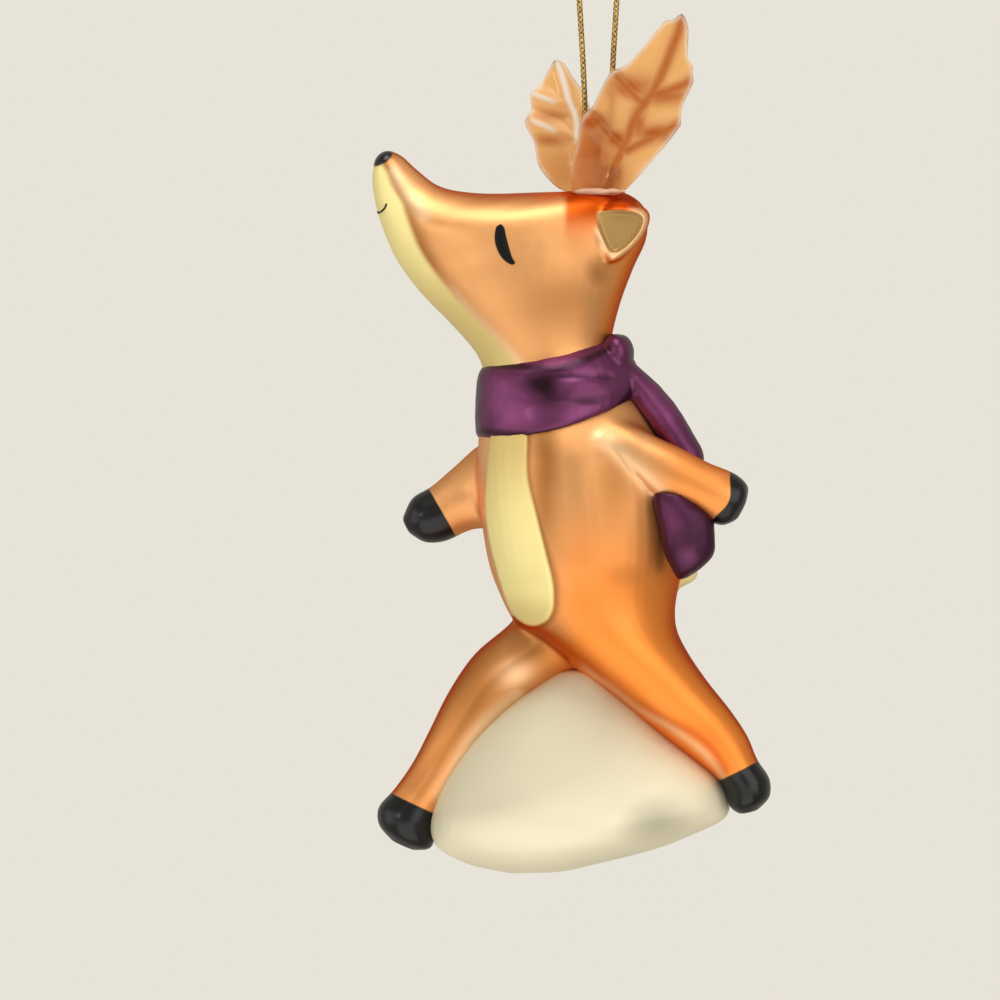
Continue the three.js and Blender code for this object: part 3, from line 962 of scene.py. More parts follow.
@dataclass
class GlassFigure:
    """The blown reindeer without its scarf and snow: one skin, its masks and sprays, and the strokes of its face."""

    voxel: float = 0.44  # millimetres, as are all lengths here
    relaxing: int = 7
    torso: tuple[Rib, ...] = ribs(
        (24, -105.7, 27, -105, -4, 2),
        (22.3, -104.4, 29.1, -102.6, -4, 4.8),
        (21.8, -102.2, 29.05, -99.6, -4, 5.2),
        (20.2, -99.6, 27, -96.4, -4.2, 5),
        (15.6, -96, 25.3, -92.4, -4.6, 5.6),
        (10, -91.6, 22.4, -88, -5, 6.8),
        (3.6, -86.4, 18.6, -83.2, -4.6, 8.6),
        (-2.4, -82, 15.2, -78.2, -3.6, 11),
        (-9, -77.4, 13.4, -74.4, -2, 13.4),
        (-14.2, -73, 13.1, -71.2, -0.8, 15),
        (-17, -67.6, 13.7, -67, 0, 16.4),
        (-18.6, -63, 14.6, -63, 0, 17.2),
        (-20, -54, 15, -54, 0, 17.6),
        (-20.4, -45, 12.8, -45, 0, 16),
        (-20.2, -39, 9.5, -38.5, 0, 13.4),
        (-19.8, -33, 5.4, -32.5, 0, 11.2),
        (-19.4, -27.5, 3, -27.5, 0, 10.4),
    )
    head: tuple[Rib, ...] = ribs(
        (-19.2, -31, 3.2, -30, 0, 10.2),
        (-20.6, -27.6, 2.3, -26, 0, 10.6),
        (-25.4, -22, 3.6, -19.6, 0, 11.6),
        (-29, -18.4, 6, -13, 0, 12.4),
        (-31.4, -15.6, 8.3, -7.6, 0, 12.6),
        (-32.9, -13.6, 8, -2.8, 0, 12.2),
        (-34.1, -11.8, 4.2, 0, 0, 11.6),
        (-35.4, -9.2, -8, 0, 0, 10),
        (-36.6, -6.2, -20.5, -0.2, 0, 7.6),
        (-37.5, -3.4, -27, 1, 0, 6),
        (-38.2, 0, -30.8, 3.8, 0, 4.9),
        (-38.4, 2.6, -33.6, 6.3, 0, 4),
        (-38.1, 4.4, -35.2, 6.9, 0, 3.1),
        (-37.5, 5.8, -36.5, 6.7, 0, 1.3),
    )
    front_leg: tuple[Rib, ...] = ribs(
        (-35, -110.4, -31.4, -112, 2, 2),
        (-37.3, -107.6, -28.4, -111.6, 2, 5),
        (-37.4, -104.8, -27.6, -109.2, 2, 5.8),
        (-34.7, -101.6, -26.2, -106, 2, 5.4),
        (-31.6, -97.2, -22.4, -100.6, 2, 5.6),
        (-28.6, -91.4, -18, -93.8, 2, 6.2),
        (-25.4, -85, -12.6, -87.8, 2, 7),
        (-21, -78.6, -5.6, -83.2, 2, 8.4),
        (-15.2, -73.6, 2, -79.2, 2, 9.4),
        (-11, -69, 6, -73, 1, 9),
    )
    rear_arm: tuple[Rib, ...] = ribs(
        (23.2, -56, 25.3, -52, -11.6, 1.8),
        (20.9, -57, 25.5, -49.6, -11.6, 4.2),
        (18.4, -55.8, 22.8, -47.8, -11.6, 4.9),
        (14.4, -53.6, 18.4, -46, -11.6, 4.8),
        (9.4, -51.6, 14, -43.6, -11.2, 4.8),
        (4.5, -48.2, 9.6, -41.4, -10.6, 4.6),
        (0.8, -44.8, 5.4, -39.4, -10, 4.4),
        (-2.2, -42.6, 1.6, -37.8, -9, 4),
    )
    fore_arm: tuple[Rib, ...] = ribs(
        (-33.4, -55.6, -32.2, -58, 6.6, 1.8),
        (-31.6, -52, -29.4, -59.6, 6.6, 4.4),
        (-28.6, -50.2, -26, -59.4, 6.6, 4.9),
        (-24.6, -46.8, -21.4, -57.4, 6.6, 4.9),
        (-19.6, -42.6, -15.4, -57, 6, 5.6),
        (-13, -40.6, -10, -54, 4, 5.4),
    )
    tail: tuple[Rib, ...] = ribs(
        (12, -67.4, 14.2, -67.2, 0, 1.4),
        (11, -66.2, 16.6, -65.8, 0, 2.6),
        (11, -64.4, 17, -64.4, 0, 2.9),
        (11.6, -62.8, 15.6, -63, 0, 2),
    )
    ear: tuple[Rib, ...] = ribs(
        (1.6, -12.4, 3.4, -11.8, 8.6, 1.8),
        (0, -9.8, 6.2, -9.4, 8.2, 3.4),
        (-0.8, -6.4, 8.4, -6.2, 7.6, 4.2),
        (0, -3.4, 8.7, -3.8, 7, 3.8),
        (2, -1.6, 6.6, -2, 6.2, 2.2),
    )
    neck: tuple[Rib, ...] = ribs((-3, -4, 3, -4, 0, 3), (-3, 0, 3, 0, 0, 3), (-3, 3.6, 3, 3.6, 0, 3))
    bore_sides: int = 44
    bore_radius: float = 2.2  # of the open neck, which the wire's legs spring into
    bore_depth: float = 20.0
    bore_floor: float = -12.0
    bore_rim: float = 1.5  # bore radii round it that its cut can reach
    bore_below: float = 1.0  # and millimetres under its floor
    bore_turn: float = 0.043  # radians, so that the bore's corners miss those of the skin
    # Joins that the mould rounds most: X, Y, Z and reach
    joins: Points = (
        (-1.0, -13.5, -40.5, 5.5),
        (4.0, -12.5, -38.5, 6.5),
        (9.0, -11.5, -40.0, 6.5),
        (-19.0, 3.0, -50.0, 6.0),
        (0.5, -8.5, -8.5, 3.5),
        (0.5, 8.5, -8.5, 3.5),
        (25.9, -11.6, -50.0, 4.0),
        (21.8, -11.6, -57.4, 3.0),
    )
    join_relaxing: int = 90
    join_core: float = 0.4  # share of the reach within which a join is softened in full
    near_side: float = -2.0  # Y that bounds what only the left side has
    arm_side: float = -9.0  # and the same for the left arm
    chin: float = -33.0  # Z that parts the head from the body
    # Relief
    plate: Points = (
        (-12.4, -36.0), (-12.2, -41.5), (-12.1, -48.4), (-10.7, -54.4), (-9.2, -60.5), (-7.8, -66.6), (-7.7, -69.2),
        (-7.9, -70.9), (-8.9, -72.7), (-11.0, -73.6), (-13.0, -73.0), (-14.6, -71.4), (-16.5, -66.6), (-19.0, -55.9),
        (-18.9, -48.4), (-18.2, -41.5), (-17.6, -36.0),
    )
    plate_rise: float = 0.4
    plate_slope: Span = (-0.3, 0.5)  # distance inside its edge
    dish: Points = (
        (-0.4, -3.6), (3.5, -3.4), (6.9, -4.0), (7.6, -4.8), (7.3, -6.3), (5.6, -8.8), (3.0, -10.7), (1.9, -10.5),
        (0.9, -8.8), (-0.1, -6.1),
    )
    dish_floor: float = 9.3  # how far from the middle the floor of an ear's dish lies
    dish_slope: Span = (-0.2, 0.7)
    arm_ridge: Stripe = Stripe(ARM_RIDGE, width=1.2, weight=0.3)  # its rise
    nose_middle: tuple[float, float] = (-36.7, 5.75)  # X and Z
    nose_reach: tuple[float, float] = (2.15, 1.05)  # along its slope and square to it
    nose_scale: float = 0.9
    nose_rise: float = 0.25
    nose_edge: Span = (-0.2, 0.5)
    nose_slope: float = 0.61  # radians
    # Masks
    mask_range: float = 4.0  # the distance that fills the stored range
    muzzle_line: Points = (
        (-36.7, 4.6), (-36.0, 3.3), (-35.1, 1.0), (-34.4, -0.3), (-33.3, -2.0), (-32.6, -4.2), (-30.3, -9.9),
        (-26.9, -15.0), (-22.6, -20.1), (-18.4, -24.3), (-13.8, -29.4),
    )
    muzzle_lean: float = 0.45  # distance square to the muzzle's edge for one along X
    throat: Zone = Zone(-math.inf, -10.0, -32.0, math.inf)
    tuft: tuple[float, float, float] = (15.2, 0.0, -65.2)
    tuft_stretch: tuple[float, float, float] = (1.0, 1.0, 0.9)
    tuft_radius: float = 3.1
    dish_side: float = 6.0  # Y beyond which the gold of the dishes lies
    hooves: tuple[Hoof, ...] = (
        Hoof((-33, 2, -108), 11, (-31.6, 2, -103.8), (-0.42, 0, -0.9), 0.0),
        Hoof((26, -4, -102.5), 9, (23.7, -4, -98.2), (0.45, 0, -0.9), 0.0),
        Hoof((22.5, -11.6, -52.5), 9, (20.1, -11.6, -51.8), (0.93, 0, -0.37), 1.9),
        Hoof((-30, 6.6, -56), 9, (-26.6, 6.6, -54.2), (-0.87, 0, -0.5), 0.0),
    )
    bulge_width: float = 3.5
    # Sprays
    chest: Zone = Zone(-math.inf, -14.0, -72.0, -38.0)
    brow: Zone = Zone(-math.inf, -6.0, -6.0, math.inf)
    nape: Zone = Zone(-3.0, math.inf, -30.0, math.inf)
    front_calf: Zone = Zone(-math.inf, -4.0, -math.inf, -76.0)
    back_calf: Zone = Zone(-5.0, math.inf, -math.inf, -77.0)
    # Deep red-orange round the outline, by facing and height: sprayed colour and painted shade at once
    rim_spray_and_shade_facing: Span = (0.62, 0.12)
    rim_spray_and_shade_heights: Sequence[float] = (-112, -76, -70, -45, -30, -14, -2)
    rim_spray_and_shade_strengths: Sequence[float] = (0.95, 0.9, 0.6, 0.5, 0.6, 0.9, 1.0)
    rim_spray_and_shade_shares: Sequence[float] = (0.15, 0.75, 0.8)  # what chest and calves, brow and nape keep of it
    crown_middle: float = 0.6  # X
    crown_reach: Span = (6.9, 5.6)
    crown_rise: Span = (-10.0, -3.0)
    # Painted crease shade of deep red-orange along the fold above the back leg
    fold_shade: Stripe = Stripe(
        (
            (-13.8, -73.7), (-10.5, -74.1), (-2.2, -79.9), (1.0, -82.8), (6.0, -86.7), (10.7, -89.4), (15.6, -91.6),
            (18.9, -94.2), (21.4, -97.8),
        ),
        width=1.1,
        weight=0.75,
    )
    rump: Ramp = Ramp(0.95, (-48.0, -70.0), (-12.0, -2.0))
    thighs: Ramp = Ramp(0.4, (-74.0, -80.0))
    raised_arm: Ramp = Ramp(0.7, (-58.0, -54.0), (7.0, 15.0))
    nape_facing: Span = (0.85, 0.35)
    # Painted shade of tan on the cream: on the upper and the lowest belly plate and under the jaw
    upper_plate: Ramp = Ramp(0.8, (-58.0, -42.0))
    low_plate: Ramp = Ramp(0.5, (-67.0, -72.0))
    under_jaw: Ramp = Ramp(0.6, (-8.0, -24.0))
    cream_edge: Span = (-0.3, 0.3)
    # Painted shade: umber smudges on the torso, the head and the front leg
    shade_smudges: tuple[Spot, ...] = spots(
        (-9.0, -48.0, 2.6, 12.0, 0.95),
        (8.0, -55.0, 5.0, 9.0, 0.5),
        (-0.4, -14.0, 2.4, 2.8, 0.7),
        (-3.5, -9.0, 3.5, 4.0, 0.45),
        (-7.0, -19.0, 8.0, 6.5, 0.65),
        (-3.5, -46.0, 5.0, 8.0, 0.3),
        (2.6, -49.5, 4.2, 10.0, 0.75),
        (-20.0, -86.0, 9.0, 14.0, 0.8),
        (-11.5, -78.0, 6.0, 4.5, 0.85),
    )
    border: float = 0.85  # the shadow beside the cream
    border_out: float = 0.2  # how far beyond the edge it is strongest
    border_width: float = 0.9
    face_border: float = 0.25  # what is left of it low on the face
    face_border_rise: Span = (-21.0, -11.0)
    # Painted shade of umber down the middle of the shin
    shin: Stripe = Stripe(((-18.5, -82.0), (-23.5, -90.6), (-31.0, -101.5)), width=1.7, weight=0.55)
    # Painted highlights: along the arm's ridge, down the snout, at the knee, on the inner leg and on the lip at the
    # seam
    arm_highlight: Stripe = Stripe(ARM_RIDGE, width=1.6, weight=0.5)
    snout_highlight: Stripe = Stripe(((-34.6, 3.2), (-32.3, -0.8), (-29.5, -4.2)), width=1.2, weight=0.55)
    knee_highlight: Spot = Spot(-14.0, -82.0, 3.0, 2.5, 0.5)
    inner_leg_highlight: Stripe = Stripe(((-13.6, -85.5), (-20.2, -91.8), (-26.6, -102.5)), width=1.4, weight=0.6)
    seam_highlight: Stripe = Stripe(
        (
            (-10.4, -73.8), (-2.2, -81.1), (2.0, -84.0), (7.0, -87.9), (12.1, -90.8), (18.0, -95.4), (21.9, -100.5),
        ),
        width=0.7,
        weight=0.5,
    )
    lip_run: Span = (-4.0, -1.0)
    # Painted highlight round the ear's dish
    ear_rim_highlight: float = 0.7
    ear_rim_out: float = 0.4  # how far outside the dish it is palest
    ear_rim_width: float = 0.4
    ear_rim_side: float = 8.0  # Y beyond which the rims lie
    ear_rim_back: Span = (4.5, 6.5)
    ear_rim_low: Span = (-5.5, -7.5)
    # Painted highlight on the front of the chest
    chest_highlight: float = 0.5
    chest_facing: Span = (0.9, 0.5)
    chest_side: Span = (2.0, -1.0)  # Y
    # Painted highlight along the jaw, just outside the muzzle's cream
    jaw_line_highlight: float = 0.55
    jaw_line_out: float = 0.25  # how far outside the muzzle's cream it is palest
    jaw_line_width: float = 0.5
    jaw_line_rise: Span = (-13.0, -20.0)
    # Strokes of the face
    lash: Points = (
        (-16.5, -5.8), (-17.2, -6.2), (-17.5, -7.4), (-17.5, -8.7), (-17.1, -10.1), (-16.3, -11.5), (-15.4, -12.3),
        (-14.5, -12.7), (-14.1, -12.3), (-14.5, -11.7), (-14.9, -10.6), (-15.3, -9.2), (-15.7, -7.6), (-16.0, -6.3),
    )
    smile: Points = (
        (-37.6, -3.35), (-37.35, -3.7), (-36.8, -3.55), (-36.22, -3.08), (-35.86, -2.36), (-35.88, -2.1),
        (-36.05, -2.12), (-36.06, -2.34), (-36.38, -2.9), (-36.82, -3.29), (-37.22, -3.45), (-37.45, -3.25),
    )
    stroke_rise: float = 0.12  # half the thickness of a stroke
    stroke_lift: float = 0.04
    stroke_start: float = 30.0  # how far out a stroke starts before it is laid on the skin
    stroke_limit: float = 25.0  # what is still further out than this has missed the skin

    def skin(self) -> bpy.types.Object:
        """Makes the fused skin with its relief, its masks and its sprays.

        Returns:
            The skin.
        """
        ears = [tuple(r._replace(middle_y=side.value * r.middle_y) for r in self.ear) for side in Side]
        forms = [self.torso, self.head, self.neck, self.front_leg, self.rear_arm, self.fore_arm, self.tail, *ears]
        parts = [draw_skin(rib_rings(form)) for form in forms]
        skin = fuse(parts, self.voxel, self.relaxing)
        middle = (0, 0, self.bore_floor + self.bore_depth / 2)
        cut_round(skin, self.bore_sides, self.bore_radius, self.bore_depth, middle, self.bore_turn)
        self.split_rim(skin)
        self.soften(skin)
        self.press(skin)
        self.spray(skin)
        return skin

    def split_rim(self, skin: bpy.types.Object) -> None:
        """Splits the many-sided faces that the bore leaves into sound triangles.

        Args:
            skin: The fused skin.
        """
        reach = self.bore_rim * self.bore_radius * MM
        lowest = on_figure((0, 0, self.bore_floor - self.bore_below))[2]
        with editing(skin):
            bpy.ops.mesh.select_mode(type="FACE")
            bpy.ops.mesh.select_all(action="DESELECT")
            mesh = bmesh.from_edit_mesh(skin.data)
            for face in mesh.faces:
                middle = face.calc_center_median()
                face.select_set(math.hypot(middle.x, middle.y) < reach and middle.z > lowest)
            bmesh.update_edit_mesh(skin.data)
            bpy.ops.mesh.quads_convert_to_tris(quad_method="BEAUTY", ngon_method="BEAUTY")
            bpy.ops.mesh.select_mode(type="VERT")

    def soften(self, skin: bpy.types.Object) -> None:
        """Blends the joins that the mould rounds most.

        Args:
            skin: The fused skin.
        """
        place = figure_corners(skin)
        group = skin.vertex_groups.new(name="join")
        weight = np.zeros(len(place))
        for *middle, reach in self.joins:
            off = np.linalg.norm(place - np.array(middle), axis=1)
            weight = np.maximum(weight, soft_step(reach, self.join_core * reach, off))
        for number in np.flatnonzero(weight > 0):
            group.add([int(number)], float(weight[number]), "REPLACE")
        apply_modifier(skin, "SMOOTH", factor=0.5, iterations=self.join_relaxing, vertex_group="join")

    def press(self, skin: bpy.types.Object) -> None:
        """Raises the belly plate, the nose and the arm's ridge, and presses the dishes into the ears.

        Args:
            skin: The fused skin.
        """
        place = figure_corners(skin)
        x, y, z = place.T
        plate = soft_step(*self.plate_slope, edge_distance(self.plate, x, z)) * (y < self.near_side)
        nose = soft_step(*self.nose_edge, self.nose_field(place))
        ridge = self.arm_ridge.share(x, z) * (y < self.arm_side)
        place += facing(skin) * (self.plate_rise * plate + self.nose_rise * nose + ridge)[:, None]
        pressed = soft_step(*self.dish_slope, edge_distance(self.dish, x, z)) * (np.abs(y) > self.dish_floor)
        place[:, 1] += pressed * (np.sign(y) * self.dish_floor - y)
        put_corners(skin, on_figure(place))

    def nose_field(self, place: np.ndarray) -> np.ndarray:
        """Measures how far inside the nose's edge places lie.

        Args:
            place: The places, in millimetres about the crown.

        Returns:
            One distance for each place, in millimetres.
        """
        x, z = place[:, 0] - self.nose_middle[0], place[:, 2] - self.nose_middle[1]
        cos, sin = math.cos(self.nose_slope), math.sin(self.nose_slope)
        along, square = (x * cos + z * sin) / self.nose_reach[0], (z * cos - x * sin) / self.nose_reach[1]
        return self.nose_scale * (1 - np.hypot(along, square))

    def canvas(self, skin: bpy.types.Object) -> Canvas:
        """Measures the skin for its masks and sprays.

        Args:
            skin: The fused skin with its relief.

        Returns:
            What the masks and sprays go by.
        """
        x, y, z = figure_corners(skin).T
        normal = facing(skin)
        line = evenly(self.muzzle_line, 80)[::-1]
        muzzle = self.muzzle_lean * (np.interp(z, line[:, 1], line[:, 0]) - x)
        return Canvas(
            x,
            y,
            z,
            ahead=normal[:, 0],
            aside=np.abs(normal[:, 1]),
            muzzle=np.where(self.throat.holds(x, z), muzzle, -OUTSIDE),
            plate=np.where(y < self.near_side, edge_distance(self.plate, x, z), -OUTSIDE),
        )

    def masks(self, on: Canvas) -> dict[str, np.ndarray]:
        """Lays out the masked cream, gold and black.

        Args:
            on: What the masks go by.

        Returns:
            For each tone, how far inside its edge each vertex lies, in millimetres.
        """
        place = np.stack([on.x, on.y, on.z], axis=1)
        tuft = self.tuft_radius - np.linalg.norm((place - np.array(self.tuft)) * self.tuft_stretch, axis=1)
        dish = np.where(np.abs(on.y) > self.dish_side, edge_distance(self.dish, on.x, on.z), -OUTSIDE)
        black = self.nose_field(place)
        for hoof in self.hooves:
            off, way = place - np.array(hoof.start), np.array(hoof.towards) / np.linalg.norm(hoof.towards)
            across = off[:, 2] * way[0] - off[:, 0] * way[2]
            past = off @ way - hoof.bulge * bell(across, self.bulge_width)
            within = hoof.reach - np.linalg.norm(place - np.array(hoof.middle), axis=1)
            black = np.maximum(black, np.minimum(past, within))
        return {"cream": strongest(on.muzzle, on.plate, tuft), "gold": dish, "black": black}

    def edge_spray(self, on: Canvas) -> np.ndarray:
        """Lays out the deep red-orange: round the outline as sprayed colour and painted shade at once, on the crown as
        its own paint, and in the fold above the back leg as painted crease shade.

        Args:
            on: What the spray goes by.

        Returns:
            One share for each vertex.
        """
        front_calf = (on.ahead > 0) & self.front_calf.holds(on.x, on.z)
        back_calf = (on.ahead < 0) & self.back_calf.holds(on.x, on.z)
        chest, brow, nape = (zone.holds(on.x, on.z) for zone in (self.chest, self.brow, self.nape))
        rim = soft_step(*self.rim_spray_and_shade_facing, on.aside) * np.interp(on.z, self.rim_spray_and_shade_heights, self.rim_spray_and_shade_strengths)
        rim *= np.select([chest | front_calf | back_calf, brow, nape], self.rim_spray_and_shade_shares, 1.0)
        across = np.abs(on.x - self.crown_middle)
        crown = soft_step(*self.crown_reach, across) * soft_step(*self.crown_rise, on.z)
        return strongest(rim, crown, self.fold_shade.share(on.x, on.z) * (on.y < self.near_side))

    def blush_spray(self, on: Canvas) -> np.ndarray:
        """Lays out the brighter orange on the rump, the legs, the rear arm and the nape.

        Args:
            on: What the spray goes by.

        Returns:
            One share for each vertex.
        """
        rump, thighs, arm = (ramp.share(on.x, on.z) for ramp in (self.rump, self.thighs, self.raised_arm))
        nape = np.where(self.nape.holds(on.x, on.z), soft_step(*self.nape_facing, on.aside), 0.0)
        return strongest(rump + thighs, arm, nape)

    def tan_shade_spray(self, on: Canvas, cream: np.ndarray) -> np.ndarray:
        """Lays out the tan on the cream, which is painted shade: on the upper and the lowest belly plate and under the
        jaw.

        Args:
            on: What the spray goes by.
            cream: How far inside the cream each vertex lies, in millimetres.

        Returns:
            One share for each vertex.
        """
        upper, low, jaw = (ramp.share(on.x, on.z) for ramp in (self.upper_plate, self.low_plate, self.under_jaw))
        return np.where(on.z < self.chin, upper + low, jaw) * soft_step(*self.cream_edge, cream)

    def umber_shade_spray(self, on: Canvas) -> np.ndarray:
        """Lays out the brown umber, which is painted shade: the smudges, the painted shadow beside the cream and the
        line of the shin.

        Args:
            on: What the spray goes by.

        Returns:
            One share for each vertex.
        """
        shade_smudges = [spot.share(on.x, on.z) for spot in self.shade_smudges]
        beside = np.minimum(np.maximum(on.muzzle, on.plate) + self.border_out, 0)
        border = self.border * bell(beside, self.border_width) * ~self.chest.holds(on.x, on.z)
        face = self.face_border + (1 - self.face_border) * soft_step(*self.face_border_rise, on.z)
        border *= np.where(on.z > self.chin, face, 1.0)
        return strongest(*shade_smudges, border, self.shin.share(on.x, on.z))

    def highlight_spray(self, on: Canvas) -> np.ndarray:
        """Lays out the pale peach painted highlights: along ridges, rims and lips.

        Args:
            on: What the spray goes by.

        Returns:
            One share for each vertex.
        """
        x, y, z = on.x, on.y, on.z
        arm = self.arm_highlight.share(x, z) * (y < self.arm_side)
        beside = edge_distance(self.dish, x, z) + self.ear_rim_out
        ear = self.ear_rim_highlight * bell(beside, self.ear_rim_width) * (np.abs(y) > self.ear_rim_side)
        ear *= np.maximum(soft_step(*self.ear_rim_back, x), soft_step(*self.ear_rim_low, z))
        leg = np.maximum(self.knee_highlight.share(x, z), self.inner_leg_highlight.share(x, z))
        lip = self.seam_highlight.share(x, z) * soft_step(*self.lip_run, x)
        front = self.chest_highlight * soft_step(*self.chest_facing, on.aside) * soft_step(*self.chest_side, y)
        chest = np.where(self.chest.holds(x, z), front, 0.0)
        jaw = self.jaw_line_highlight * bell(on.muzzle + self.jaw_line_out, self.jaw_line_width)
        jaw *= soft_step(*self.jaw_line_rise, z)
        near = np.maximum(leg, lip) * (y < self.near_side)
        return strongest(arm, ear, self.snout_highlight.share(x, z), near, chest, jaw)

    def spray(self, skin: bpy.types.Object) -> None:
        """Stores where each masked and sprayed tone lies.

        Args:
            skin: The fused skin with its relief.
        """
        on = self.canvas(skin)
        masks = self.masks(on)
        for name, inside in masks.items():
            paint(skin, name, 0.5 + inside / self.mask_range)
        paint(skin, "edge", self.edge_spray(on))
        paint(skin, "blush", self.blush_spray(on))
        paint(skin, "tan_shade", self.tan_shade_spray(on, masks["cream"]))
        paint(skin, "umber_shade", self.umber_shade_spray(on))
        paint(skin, "highlight", self.highlight_spray(on))

    @staticmethod
    def remove_corners(obj: bpy.types.Object, unwanted: np.ndarray) -> None:
        """Deletes vertices.

        Args:
            obj: The mesh that they belong to.
            unwanted: One truth value for each vertex.
        """
        with editing(obj):
            bpy.ops.mesh.select_all(action="DESELECT")
            mesh = bmesh.from_edit_mesh(obj.data)
            for corner, gone in zip(mesh.verts, unwanted):
                corner.select_set(bool(gone))
            mesh.select_flush_mode()
            bmesh.update_edit_mesh(obj.data)
            bpy.ops.mesh.delete(type="VERT")

    def stroke(self, skin: bpy.types.Object, outline: Points, side: Side) -> bpy.types.Object:
        """Makes a painted stroke that follows the skin.

        Args:
            skin: The fused skin.
            outline: The stroke's outline in X and Z, in millimetres about the crown.
            side: The side of the figure that it is on.

        Returns:
            The stroke as a new object.
        """
        smooth = evenly([*outline, outline[0]], 4 * len(outline) + 1)[:-1]
        stroke = add_primitive(bpy.ops.mesh.primitive_circle_add, vertices=len(smooth), radius=MM, fill_type="NGON")
        put_corners(stroke, on_figure(np.insert(smooth, 1, side.value * self.stroke_start, axis=1)))
        with editing(stroke):
            bpy.ops.mesh.select_all(action="SELECT")
            bpy.ops.mesh.quads_convert_to_tris(quad_method="BEAUTY", ngon_method="BEAUTY")
            bpy.ops.mesh.subdivide(number_cuts=2)
        apply_modifier(
            stroke,
            "SHRINKWRAP",
            target=skin,
            wrap_method="PROJECT",
            use_project_y=True,
            use_project_x=False,
            use_project_z=False,
            use_negative_direction=True,
            use_positive_direction=True,
            offset=self.stroke_lift * MM,
        )
        self.remove_corners(stroke, np.abs(corners(stroke)[:, 1]) > self.stroke_limit * MM)
        apply_modifier(stroke, "SOLIDIFY", thickness=2 * self.stroke_rise * MM, offset=0.0)
        face_outward(stroke)
        return stroke

    def build(self) -> None:
        """Builds and dresses the figure and the strokes of its face."""
        skin = self.skin()
        enamel = BLACK_ENAMEL.material()
        for side in Side:
            for name, outline in (("lash", self.lash), ("smile", self.smile)):
                stroke = self.stroke(skin, outline, side)
                finish_piece(stroke, f"{name}_{side.name.lower()}", "figure", enamel)
        finish_piece(skin, "reindeer_skin", "figure", SatinLacquer().material())
        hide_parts("glass_body")


